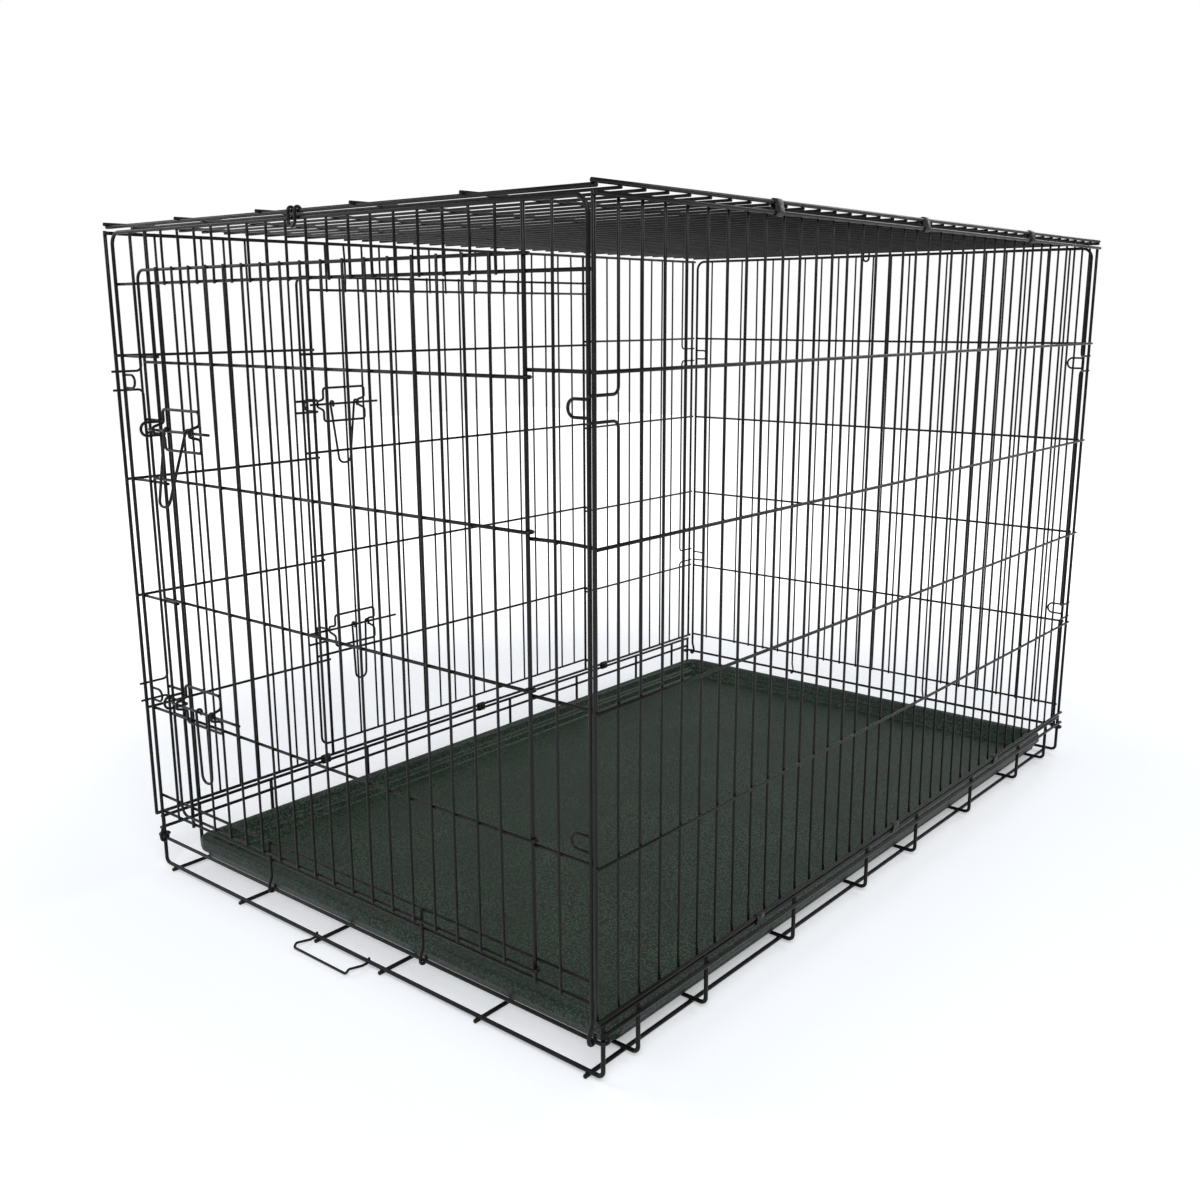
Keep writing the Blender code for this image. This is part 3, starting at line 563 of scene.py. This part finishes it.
def upright(wires, place, u, z_start, z_end, diameter=FILL_WIRE, out=0.0):
    """An upright wire of a panel; the heavier ones are straighter."""
    bow = HEAVY_BOW if diameter > FILL_WIRE else FINE_BOW
    wires.wire(bowed(place(u, out, z_start), place(u, out, z_end), along(place), bow), diameter)


def loop_with_foot(near, far, feet, radius):
    """Two eyes joined by two legs and a rounded foot."""
    return near[:-1] + rounded([near[-1]] + feet + [far[0]], radius) + far[1:]


def both_sides(distances):
    """The distances on both sides of the middle, from least to greatest."""
    return sorted(hand * distance for hand in (-1, 1) for distance in distances)


def make_floor_hoops():
    """Cross wires of the floor, turned up at both ends to the upper rails."""
    rail_foot = FRAME_WIRE / 2 - RAIL_SINK
    path = (
        (-FOOT_HALF_WIDTH, LEFT_RAIL_Z - rail_foot), (-FOOT_HALF_WIDTH, HOOP_Z),
        (FOOT_HALF_WIDTH, HOOP_Z), (FOOT_HALF_WIDTH, RIGHT_RAIL_Z - rail_foot),
    )
    for number, row in enumerate(both_sides(HOOP_ROWS), start=1):
        wires = WireSet()
        corners = [np.array((x, row, z)) for x, z in path]
        wires.wire(rounded(corners, HOOP_BEND, WIDE_BEND_STEPS), BASE_WIRE)
        for hand, rail in ((-1, LEFT_RAIL_Z), (1, RIGHT_RAIL_Z)):
            top = np.array((hand * FOOT_HALF_WIDTH, row, rail - RAIL_WELD_OUT))
            wires.nugget(top, X_WAY, Y_WAY, Z_WAY, RAIL_WELD)
            side = np.array((hand * (FOOT_HALF_WIDTH + RAIL_WELD_OUT), row, LOWER_RAIL_Z))
            wires.nugget(side, Y_WAY, Z_WAY, X_WAY, RAIL_WELD)
        for column in both_sides(RUNNER_COLUMNS):
            spot = np.array((column, row, HOOP_Z - RUNNER_WELD_DROP))
            wires.nugget(spot, X_WAY, Y_WAY, Z_WAY, RUNNER_WELD)
        wires.make(f"floor_hoop_{number:02d}", "base")


def make_floor_lengths():
    """Runners under the hoops and the two rails along each side."""
    reach = END_ROW + BASE_WIRE / 2
    lower = FOOT_HALF_WIDTH + (BASE_WIRE + FRAME_WIRE) / 2 - RAIL_PRESS
    lengths = [
        (f"floor_runner_{number}", column, RUNNER_Z, reach + RUNNER_NUB, BASE_WIRE)
        for number, column in enumerate(both_sides(RUNNER_COLUMNS), start=1)
    ]
    lengths += [
        ("left_upper_rail", -FOOT_HALF_WIDTH, LEFT_RAIL_Z, reach, FRAME_WIRE),
        ("right_upper_rail", FOOT_HALF_WIDTH, RIGHT_RAIL_Z, reach, FRAME_WIRE),
        ("left_lower_rail", -lower, LOWER_RAIL_Z, reach, FRAME_WIRE),
        ("right_lower_rail", lower, LOWER_RAIL_Z, reach, FRAME_WIRE),
    ]
    for node, x, z, half, diameter in lengths:
        wires = WireSet()
        ends = np.array((x, -half, z)), np.array((x, half, z))
        wires.wire(bowed(*ends, X_WAY, RAIL_BOW, LONG_STEPS), diameter)
        wires.make(node, "base")


def make_hinge_rods():
    """Rods across both ends, curled at their tips round the end hoops."""
    for node, side in (("front_hinge_rod", -1), ("rear_hinge_rod", 1)):
        eyes = []
        for hand in (-1, 1):
            centre = np.array((hand * FOOT_HALF_WIDTH, side * END_ROW, ROD_Z))
            eyes.append(curl(centre, Y_WAY * side, X_WAY * hand, ROD_EYE, ROD_TURN))
        wires = WireSet()
        wires.wire(eyes[0] + eyes[1][::-1], FRAME_WIRE)
        wires.make(node, "base")


def rod_hook(place, u, diameter):
    """The foot of an upright: it steps outwards and curls round the hinge rod."""
    radius = (FRAME_WIRE + diameter) / 2 + TURN_GAP
    eye = curl(place(u, 0, ROD_Z), outward(place), -Z_WAY, radius)
    low, high, top = (ROD_Z + radius * share for share in ROD_HOOK_STEP)
    step = [eye[-1], place(u, radius, low), place(u, 0, high), place(u, 0, top)]
    return eye[:-1] + rounded(step, ROD_HOOK_BEND, ROD_HOOK_BEND_STEPS)


def end_loop(wires, place):
    """The outline wire of an end panel, from one rod hook over the top to the other."""
    low, high = ROD_Z + OUTLINE_START, END_TOP
    path = ((-1, low), (-1, high), (1, high), (1, low))
    corners = [place(hand * END_HALF_WIDTH, 0, z) for hand, z in path]
    start, end = (rod_hook(place, hand * END_HALF_WIDTH, FRAME_WIRE) for hand in (-1, 1))
    outline = rounded(corners, END_CORNER, WIDE_BEND_STEPS)[1:-1]
    wires.wire(start + outline + end[::-1], FRAME_WIRE)


def corner_loops(wires, place):
    """D loops that sit between the hooks of the side panels."""
    for hand in (-1, 1):
        for z in HOOK_LEVELS:
            root, tip = hand * (END_HALF_WIDTH - LOOP_SINK), hand * (END_HALF_WIDTH - LOOP_DEPTH)
            low, high = z - LOOP_HALF_HEIGHT, z + LOOP_HALF_HEIGHT
            corners = [place(u, 0, h) for u, h in ((root, low), (tip, low), (tip, high), (root, high))]
            wires.wire(rounded(corners, LOOP_HALF_HEIGHT * LOOP_ROUND), FILL_WIRE)


def hooked_upright(wires, place, u, hand, levels, bottom, top):
    """An upright beside a corner, cut at each level into two hooks over the end panel."""
    tip = hand * (END_PLANE + HOOK_PAST_PLANE)
    start = None
    for z in levels:
        corners = [place(u, 0, bottom)] if start is None else [place(tip, 0, start), place(u, 0, start)]
        corners += [place(u, 0, z - HOOK_HALF_GAP), place(tip, 0, z - HOOK_HALF_GAP)]
        wires.wire(rounded(corners, HOOK_BEND), FILL_WIRE)
        start = z + HOOK_HALF_GAP
    wires.wire(rounded([place(tip, 0, start), place(u, 0, start), place(u, 0, top)], HOOK_BEND), FILL_WIRE)


def make_keeper(name, place, body, latch_u, z):
    """A hairpin on the frame beside a door: the bolt slides through its bend."""
    bend_u = latch_u + (FRAME_WIRE + LATCH_WIRE) / 2 + TURN_GAP
    start_u, inner = latch_u - KEEPER_SETBACK, -KEEPER_LAYER
    bow = arc(place(bend_u, BOLT_OUT, z), Z_WAY, outward(place), KEEPER_HALF_GAP, 0, 180, EYE_STEPS)
    high, low = z + KEEPER_HALF_GAP, z - KEEPER_HALF_GAP
    top = rounded([place(start_u, inner, high), place(bend_u, inner, high), bow[0]], KEEPER_BEND)
    bottom = rounded([bow[-1], place(bend_u, inner, low), place(start_u, inner, low)], KEEPER_BEND)
    hairpin = WireSet()
    hairpin.wire(top + bow[1:-1] + bottom, LATCH_WIRE)
    held = latch_u, latch_u - KEEPER_SETBACK * KEEPER_WELD_SHARE
    hairpin.welds(place, held, (low, high), inner / 2)
    hairpin.make(name, body, "latch_coat")


def make_front_panel():
    """The end with the door: strips beside it, a header of short uprights above."""
    wires = WireSet()
    end_loop(wires, front)
    foot, head = END_BOTTOM - WIRE_NUB, END_TOP - HEAD_SINK
    for hand in (-1, 1):
        upright(wires, front, hand * FRONT_STRIP, foot, head)
        upright(wires, front, hand * FRONT_OPENING, foot, head, FRAME_WIRE)
        hook = rod_hook(front, hand * HOOK_COLUMN, CROSS_WIRE)
        wires.wire(hook + [front(hand * HOOK_COLUMN, 0, END_SILL + SILL_NUB)], CROSS_WIRE)
    bay = 2 * FRONT_OPENING / FRONT_HEADER_BAYS
    header_us = [k * bay - FRONT_OPENING for k in range(1, FRONT_HEADER_BAYS)]
    for u in header_us:
        upright(wires, front, u, HEADER_Z - WIRE_NUB, head)
    edge = END_HALF_WIDTH + CROSS_NUB
    for z in (HEADER_Z, END_SILL, END_BOTTOM):
        level(wires, front, -edge, edge, -CROSS_LAYER, z)
    inner = FRONT_OPENING - CROSS_NUB
    for z in LEVELS:
        level(wires, front, -edge, -inner, -CROSS_LAYER, z)
        level(wires, front, inner, edge, -CROSS_LAYER, z)
    corner_loops(wires, front)
    strips = [hand * u for hand in (-1, 1) for u in (END_HALF_WIDTH, FRONT_STRIP, FRONT_OPENING)]
    meet = -CROSS_LAYER / 2
    wires.welds(front, strips, LEVELS + (END_BOTTOM, END_SILL, HEADER_Z), meet)
    wires.welds(front, header_us, (HEADER_Z,), meet)
    wires.welds(front, (-HOOK_COLUMN, HOOK_COLUMN), (END_BOTTOM, END_SILL), meet)
    wires.make("front_panel", "front")


def make_rear_panel():
    """The closed end: even uprights, two of them hooked on the hinge rod."""
    wires = WireSet()
    end_loop(wires, rear)
    bay = 2 * END_HALF_WIDTH / REAR_BAYS
    hook_bays = round(HOOK_COLUMN / bay)
    us = [k * bay - END_HALF_WIDTH for k in range(REAR_BAYS + 1)]
    for k, u in enumerate(us[1:-1], start=1):
        if abs(k - REAR_BAYS // 2) == hook_bays:
            wires.wire(rod_hook(rear, u, FILL_WIRE) + [rear(u, 0, END_TOP - HEAD_SINK)], FILL_WIRE)
        else:
            upright(wires, rear, u, END_BOTTOM - WIRE_NUB, END_TOP - HEAD_SINK)
    edge = END_HALF_WIDTH + CROSS_NUB
    for z in (END_BOTTOM,) + LEVELS:
        level(wires, rear, -edge, edge, CROSS_LAYER, z)
    corner_loops(wires, rear)
    wires.welds(rear, us, (END_BOTTOM,) + LEVELS, CROSS_LAYER / 2)
    wires.make("rear_panel", "rear")


def side_bar(bay):
    """Distance of an upright of a long side from the middle, counted from the front."""
    return bay * SIDE_PITCH - SIDE_HALF_LENGTH


def side_frame(wires, place, bottom, layer_way, hook_levels_near):
    """Edges, corner hooks, and the heavy wires along the foot and the head."""
    foot, head = bottom - WIRE_NUB, SIDE_TOP + WIRE_NUB
    for bay in (0, SIDE_BAYS):
        upright(wires, place, side_bar(bay), foot, head, FRAME_WIRE)
    hooked_upright(wires, place, side_bar(1), -1, hook_levels_near, foot, head)
    hooked_upright(wires, place, side_bar(SIDE_BAYS - 1), 1, HOOK_LEVELS, foot, head)
    reach = SIDE_HALF_LENGTH + CROSS_NUB
    for z in (bottom, SIDE_TOP):
        level(wires, place, -reach, reach, layer_way * END_LAYER, z, FRAME_WIRE)
    all_us = [side_bar(bay) for bay in range(SIDE_BAYS + 1)]
    wires.welds(place, all_us, (bottom, SIDE_TOP), layer_way * END_LAYER / 2, HEAVY_WELD)
    return foot, head, reach


def make_right_panel():
    """The closed long side."""
    wires = WireSet()
    foot, head, reach = side_frame(wires, right, RIGHT_RAIL_Z + RAIL_TO_PANEL, 1, HOOK_LEVELS[1:])
    for bay in range(2, SIDE_BAYS - 1):
        upright(wires, right, side_bar(bay), foot, head)
    for z in LEVELS:
        level(wires, right, -reach, reach, CROSS_LAYER, z)
    wires.welds(right, [side_bar(bay) for bay in range(SIDE_BAYS + 1)], LEVELS, CROSS_LAYER / 2)
    wires.make("right_panel", "right")


def make_left_panel():
    """The long side with the door."""
    wires = WireSet()
    foot, head, reach = side_frame(wires, left, LEFT_RAIL_Z + RAIL_TO_PANEL, -1, HOOK_LEVELS)
    beside, over = [], []
    for bay in range(2, SIDE_BAYS - 1):
        heavy = FRAME_WIRE if bay in (LEFT_LATCH_BAY, LEFT_HINGE_BAY) else FILL_WIRE
        if LEFT_LATCH_BAY < bay < LEFT_HINGE_BAY:
            upright(wires, left, side_bar(bay), SIDE_HEADER_Z - WIRE_NUB, head)
            over.append(side_bar(bay))
        else:
            upright(wires, left, side_bar(bay), foot, head, heavy)
            beside.append(side_bar(bay))
    latch_u, hinge_u = side_bar(LEFT_LATCH_BAY), side_bar(LEFT_HINGE_BAY)
    level(wires, left, latch_u - CROSS_NUB, hinge_u + CROSS_NUB, -CROSS_LAYER, SIDE_HEADER_Z)
    for z in LEVELS:
        level(wires, left, -reach, latch_u + CROSS_NUB, -CROSS_LAYER, z)
        level(wires, left, hinge_u - CROSS_NUB, reach, -CROSS_LAYER, z)
    ends = [side_bar(bay) for bay in (0, 1, SIDE_BAYS - 1, SIDE_BAYS)]
    wires.welds(left, beside + ends, LEVELS, -CROSS_LAYER / 2)
    wires.welds(left, over + [latch_u, hinge_u], (SIDE_HEADER_Z,), -CROSS_LAYER / 2)
    wires.make("left_panel", "left")


def hinge_eye(place, hinge_u, z):
    """The end of a door wire, curled round the upright that the door hangs on."""
    return curl(place(hinge_u, 0, z), outward(place), along(place), DOOR_LAYER)


def make_guide(name, place, body, latch_u, z, bar_us):
    """A wire frame on the door bars whose sides bow out over the bolt."""
    corners = []
    half, kink = GUIDE_HALF_HEIGHT, GUIDE_KINK
    sides = ((latch_u + GUIDE_START + GUIDE_WIDTH, 1), (latch_u + GUIDE_START, -1))
    for u, up in sides:
        for height, out in (
            (-half, GUIDE_OUT), (-kink, GUIDE_OUT), (-kink / 2, BULGE_OUT),
            (kink / 2, BULGE_OUT), (kink, GUIDE_OUT), (half, GUIDE_OUT),
        ):
            corners.append(place(u, out, z + up * height))
    route = []
    for before, corner, after in zip(corners[-1:] + corners[:-1], corners, corners[1:] + corners[:1]):
        sharp = min(np.linalg.norm(before - corner), np.linalg.norm(after - corner))
        radius = min(GUIDE_BEND, sharp * GUIDE_BEND_SHARE)
        route += bend(before, corner, after, radius, GUIDE_BEND_STEPS)
    guide = WireSet()
    guide.wire(route, LATCH_WIRE, closed=True)
    held = [u for u in bar_us if GUIDE_START < u - latch_u < GUIDE_START + GUIDE_WIDTH]
    guide.welds(place, held, (z - half, z + half), (BAR_LAYER + GUIDE_OUT) / 2)
    guide.make(name, body, "latch_coat")


def make_door(name, place, latch_u, hinge_u):
    """Outline and levels with hinge eyes, and bars outside them; gives the bars' places."""
    wires = WireSet()
    free_u = latch_u - DOOR_LAP
    high, low = hinge_eye(place, hinge_u, DOOR_TOP), hinge_eye(place, hinge_u, DOOR_BOTTOM)
    corners = [
        high[-1], place(free_u, DOOR_LAYER, DOOR_TOP), place(free_u, DOOR_LAYER, DOOR_BOTTOM), low[-1],
    ]
    outline = rounded(corners, DOOR_CORNER, WIDE_BEND_STEPS)
    wires.wire(high[:-1] + outline + low[-2::-1], CROSS_WIRE)
    heights = [z + shift for z, shift in zip(LEVELS, DOOR_LEVEL_SHIFT)]
    for z in heights:
        wires.wire(hinge_eye(place, hinge_u, z) + [place(free_u, DOOR_LAYER, z)], CROSS_WIRE)
    us = [latch_u + DOOR_FIRST_BAR + k * DOOR_PITCH for k in range(DOOR_BARS)]
    for u in us:
        upright(wires, place, u, DOOR_BOTTOM - WIRE_NUB, DOOR_TOP + WIRE_NUB, out=BAR_LAYER)
    meet = DOOR_LAYER + CROSS_LAYER / 2
    wires.welds(place, us, heights + [DOOR_BOTTOM, DOOR_TOP], meet)
    wires.make(name, name)
    return us


def make_latch(name, place, latch_u, z, kind, lean):
    """A drawn bolt, and the wire handle that hangs on it by two eyes and leans outwards."""
    tip = latch_u - BOLT_TIP + BOLT_DRAWN
    ends = place(tip, BOLT_OUT, z), place(tip + BOLT_LENGTH[kind], BOLT_OUT, z)
    rod = WireSet()
    rod.wire(bowed(*ends, Z_WAY, BOLT_BOW), LATCH_WIRE)
    rod.make(f"{name}_bolt", f"{name}_bolt", "latch_coat")
    near = latch_u + HANDLE_START[kind] + BOLT_DRAWN
    far = near + HANDLE_WIDTH[kind]
    out = Z_WAY * math.sin(lean) + outward(place) * math.cos(lean)
    up = Z_WAY * math.cos(lean) - outward(place) * math.sin(lean)
    eyes = [curl(place(u, BOLT_OUT, z), out, up, HANDLE_EYE, HANDLE_TURN) for u in (near, far)]
    middle = place((near + far) / 2, BOLT_OUT, z) + out * HANDLE_EYE - up * HANDLE_DROP
    feet = [middle + hand * along(place) * HANDLE_FOOT / 2 for hand in (-1, 1)]
    handle = WireSet()
    handle.wire(loop_with_foot(eyes[0], eyes[1][::-1], feet, HANDLE_FOOT * FOOT_ROUND), LATCH_WIRE)
    handle.make(f"{name}_handle", f"{name}_handle", "latch_coat")


def make_top_panel():
    """Cross wires welded under the lengthwise ones."""
    wires = WireSet()
    edge = TOP_HALF_WIDTH + TOP_NUB
    rows = np.linspace(-END_PLANE, END_PLANE, SIDE_BAYS + 1)
    for y in rows:
        heavy = FRAME_WIRE if abs(y) == END_PLANE else FILL_WIRE
        ends = np.array((-edge, y, TOP_CROSS_Z)), np.array((edge, y, TOP_CROSS_Z))
        wires.wire(bowed(*ends, Y_WAY), heavy)
    reach = END_PLANE + FRAME_WIRE / 2 + WIRE_NUB
    for column, z, diameter in (
        (TOP_LONG_COLUMNS[0], TOP_CROSS_Z + CROSS_LAYER, CROSS_WIRE),
        (TOP_LONG_COLUMNS[1], TOP_CROSS_Z + CROSS_LAYER, CROSS_WIRE),
        (TOP_HALF_WIDTH, TOP_Z, FRAME_WIRE),
    ):
        for hand in (-1, 1):
            x = hand * column
            ends = np.array((x, -reach, z)), np.array((x, reach, z))
            wires.wire(bowed(*ends, X_WAY, LONG_BOW, LONG_STEPS), diameter)
            for y in rows:
                spot = np.array((x, y, (TOP_CROSS_Z + z) / 2))
                wires.nugget(spot, X_WAY, Y_WAY, Z_WAY, (WELD_SIDE, WELD_SIDE, WELD_THICK))
    wires.make("top_panel", "top")


def make_catches():
    """Small wire hooks on the end wires of the top, over the end panels."""
    radius = (FRAME_WIRE + LATCH_WIRE) / 2 + CATCH_GAP
    for name, place in (("front_catch", front), ("rear_catch", rear)):
        centres = [place(CATCH_X + hand * CATCH_WIDTH / 2, 0, TOP_CROSS_Z) for hand in (-1, 1)]
        eyes = [curl(centre, outward(place), Z_WAY, radius, CATCH_TURN) for centre in centres]
        feet = [eye[-1] - Z_WAY * CATCH_DROP for eye in eyes]
        wires = WireSet()
        wires.wire(loop_with_foot(eyes[0], eyes[1][::-1], feet, CATCH_WIDTH * CATCH_ROUND), LATCH_WIRE)
        wires.make(name, "top", "latch_coat")


def make_clips():
    """Bent strips: two half circles round the two wires, joined by straight sides."""
    left_frame_x = -LEFT_PLANE + END_LAYER
    pairs = {
        "right": ((FOOT_HALF_WIDTH, RIGHT_RAIL_Z), (RIGHT_FRAME_X, RIGHT_RAIL_Z + RAIL_TO_PANEL)),
        "left": ((-FOOT_HALF_WIDTH, LEFT_RAIL_Z), (left_frame_x, LEFT_RAIL_Z + RAIL_TO_PANEL)),
        "top": ((RIGHT_FRAME_X, SIDE_TOP), (TOP_HALF_WIDTH, TOP_Z)),
    }
    inner, half = FRAME_WIRE / 2 + TURN_GAP, CLIP_LENGTH / 2
    outer, round_off = inner + CLIP_WALL, CLIP_WALL * CLIP_ROUND
    section = (
        (inner, -half), (inner, half), (outer - round_off, half), (outer, half - round_off),
        (outer, -half + round_off), (outer - round_off, -half),
    )
    for body, ends in pairs.items():
        pin, held = (np.array((x, 0.0, z)) for x, z in ends)
        axis = unit(held - pin)
        side = np.cross(axis, Y_WAY)
        for number, bay in enumerate(CLIP_BAYS, start=1):
            rings = []
            for radius, y in section:
                ring = arc(held, side, axis, radius, 0, 180, CLIP_STEPS)
                ring += arc(pin, -side, -axis, radius, 0, 180, CLIP_STEPS)
                rings.append(np.array(ring) + Y_WAY * (y + side_bar(bay)))
            strip = WireSet()
            strip.keep(np.array(rings), True)
            strip.make(f"{body}_clip_{number}", body, "clip_steel", "bent")


def make_stop():
    """The wire flap hooked under the front hoop."""
    radius = (BASE_WIRE + FILL_WIRE) / 2 + STOP_GAP
    low, raised = HOOP_Z - radius, HOOP_Z - STOP_SINK
    profile = ((STOP_RISE, low), (STOP_REACH - STOP_DROP, raised), (STOP_REACH, low))
    eyes, arms = [], []
    for hand in (-1, 1):
        x = STOP_CENTRE + hand * STOP_EYE_SPREAD / 2
        centre = np.array((x, -END_ROW, HOOP_Z))
        eyes.append(curl(centre, -Z_WAY, Y_WAY, radius, STOP_TURN, STOP_EYE_STEPS))
        arms.append([np.array((x, -END_ROW - forward, z)) for forward, z in profile])
    corners = [eyes[0][-1]] + arms[0] + arms[1][::-1] + [eyes[1][-1]]
    flap = rounded(corners, STOP_BEND, STOP_BEND_STEPS)
    wires = WireSet()
    wires.wire(eyes[0][:-1] + flap + eyes[1][-2::-1], FILL_WIRE)
    wires.make("tray_stop", "stop", "latch_coat")


def make_tray():
    """Rounded rectangles at each inset and height of the moulding's section."""
    turn = np.radians(np.linspace(0, 90, TRAY_CORNER_STEPS + 1))
    rings = []
    for inset, z in TRAY_SECTION:
        radius = max(TRAY_CORNER - inset * TRAY_CORNER_DRAW, TRAY_LEAST_CORNER)
        corners = []
        for quarter, (x_way, y_way) in enumerate(((1, 1), (-1, 1), (-1, -1), (1, -1))):
            reach = TRAY_BACK if y_way > 0 else -TRAY_FRONT
            x, y = x_way * (TRAY_HALF_WIDTH - inset - radius), y_way * (reach - inset - radius)
            angle = turn + math.pi / 2 * quarter
            row = x + radius * np.cos(angle), y + radius * np.sin(angle), np.full(turn.shape, z)
            corners.append(np.stack(row, -1))
        rings.append(np.concatenate(corners))
    shell = WireSet()
    shell.keep(np.array(rings), False, caps=("first", "last"))
    shell.make("tray", "tray", "tray_plastic", "moulded")


make_floor_hoops()
make_floor_lengths()
make_hinge_rods()
make_front_panel()
make_rear_panel()
make_right_panel()
make_left_panel()
side_uprights = side_bar(LEFT_LATCH_BAY), side_bar(LEFT_HINGE_BAY)
doors = (
    ("front", front, "front", -FRONT_OPENING, FRONT_OPENING, FRONT_LATCHES, (0.0, HANDLE_LEAN)),
    ("side", left, "left", *side_uprights, SIDE_LATCHES, (0.0, 0.0)),
)
for door, place, panel, latch_u, hinge_u, heights, leans in doors:
    bar_us = make_door(f"{door}_door", place, latch_u, hinge_u)
    for kind, height in enumerate(("lower", "upper")):
        name = f"{door}_{height}"
        make_keeper(f"{name}_keeper", place, panel, latch_u, heights[kind])
        make_guide(f"{name}_guide", place, f"{door}_door", latch_u, heights[kind], bar_us)
        make_latch(name, place, latch_u, heights[kind], kind, leans[kind])
make_top_panel()
make_catches()
make_clips()
make_stop()
make_tray()


# Floor, light and camera. Where two values are given, the first is near or as a
# light, and the second is far or as the camera sees it.
FLOOR_HALF = 6.0
FLOOR_COLOUR = (0.76, 0.79, 0.84, 1)
FLOOR_GLOW = (0.34, 1.0)
FLOOR_GLOW_REACH = (0.80, 1.9)
WORLD_LIGHT = (0.34, 1.0)
# Lamps: place, point aimed at, width and height, power
LAMPS = {
    "key_panel": ((1.9, -2.2, 2.6), (0, 0, 0.35), (1.8, 1.8), 70),
    "fill_panel": ((-2.6, -1.6, 1.8), (0, 0, 0.4), (1.6, 1.6), 26),
    "back_panel": ((0.6, 3.0, 2.2), (0, 0, 0.4), (2.0, 1.2), 34),
}
SENSOR_WIDTH = 36.0
LENS = 37.11
CAMERA_PLACE = (1.0671, -1.4220, 0.7315)
CAMERA_YAW = 39.8325
CAMERA_PITCH = -13.0369
CAMERA_ROLL = -0.195


def pale_floor():
    """A plain sheet, white to the camera beyond the crate's own shadow."""
    mesh = bpy.data.meshes.new("studio_floor")
    corners = [(x * FLOOR_HALF, y * FLOOR_HALF, 0.0) for x, y in ((-1, -1), (1, -1), (1, 1), (-1, 1))]
    mesh.from_pydata(corners, [], [(0, 1, 2, 3)])
    floor = bpy.data.objects.new("studio_floor", mesh)
    bpy.context.scene.collection.objects.link(floor)
    finish = Finish("floor_white", Roughness=0.6, Specular_IOR_Level=0.2, Emission_Strength=1.0)
    finish.shader.inputs["Base Color"].default_value = FLOOR_COLOUR
    away = finish.node("ShaderNodeVectorMath", {"operation": "LENGTH"}, {0: finish.place}, 1)
    seen = finish.node("ShaderNodeLightPath", {}, {}, "Is Camera Ray")
    shiny = finish.node("ShaderNodeLightPath", {}, {}, "Is Glossy Ray")
    near, far = FLOOR_GLOW
    glow = (seen + shiny) * (away.ramp(*FLOOR_GLOW_REACH) * (far - near) + near)
    finish.feed("Emission Color", finish.blend(glow, (0, 0, 0, 1), (1, 1, 1, 1)))
    mesh.materials.append(finish.material)


def soft_light(name, place, aim, size, power):
    """A rectangular lamp turned to the point that it aims at."""
    lamp = bpy.data.lights.new(name, "AREA")
    lamp.shape = "RECTANGLE"
    lamp.size, lamp.size_y = size
    lamp.energy = power
    holder = bpy.data.objects.new(name, lamp)
    bpy.context.scene.collection.objects.link(holder)
    way = np.array(aim, float) - np.array(place, float)
    yaw = math.atan2(way[1], way[0]) - math.pi / 2
    pitch = math.atan2(math.hypot(way[0], way[1]), -way[2])
    holder.location = place
    holder.rotation_euler = (pitch, 0, yaw)


def white_studio():
    """White surround: full to the camera, dimmer as a light."""
    world = bpy.data.worlds.new("white_studio")
    bpy.context.scene.world = world
    world.use_nodes = True
    tree = world.node_tree
    surround = tree.nodes["Background"]
    surround.inputs["Color"].default_value = (1, 1, 1, 1)
    rays = tree.nodes.new("ShaderNodeLightPath")
    strength = tree.nodes.new("ShaderNodeMapRange")
    for label, value in zip(("To Min", "To Max"), WORLD_LIGHT):
        strength.inputs[label].default_value = value
    tree.links.new(rays.outputs["Is Camera Ray"], strength.inputs["Value"])
    tree.links.new(strength.outputs[0], surround.inputs["Strength"])


def photo_camera():
    """The view of the photograph: yaw about Z, pitch about the side, roll about the view."""
    lens = bpy.data.cameras.new("photo_view")
    lens.lens = LENS
    lens.sensor_width = SENSOR_WIDTH
    camera = bpy.data.objects.new("photo_view", lens)
    bpy.context.scene.collection.objects.link(camera)
    yaw, pitch, roll = (math.radians(angle) for angle in (CAMERA_YAW, CAMERA_PITCH, CAMERA_ROLL))
    level_way = np.array((-math.sin(yaw), math.cos(yaw), 0.0))
    forward = level_way * math.cos(pitch) + Z_WAY * math.sin(pitch)
    level_side = unit(np.cross(forward, Z_WAY))
    head = np.cross(level_side, forward)
    side = math.cos(roll) * level_side + math.sin(roll) * head
    head = np.cross(side, forward)
    pose = np.eye(4)
    pose[:3, 0], pose[:3, 1], pose[:3, 2], pose[:3, 3] = side, head, -forward, CAMERA_PLACE
    camera.matrix_world = Matrix(pose.tolist())
    bpy.context.scene.camera = camera


pale_floor()
for lamp_name, lamp_values in LAMPS.items():
    soft_light(lamp_name, *lamp_values)
white_studio()
photo_camera()
bpy.context.scene.view_settings.view_transform = "Standard"
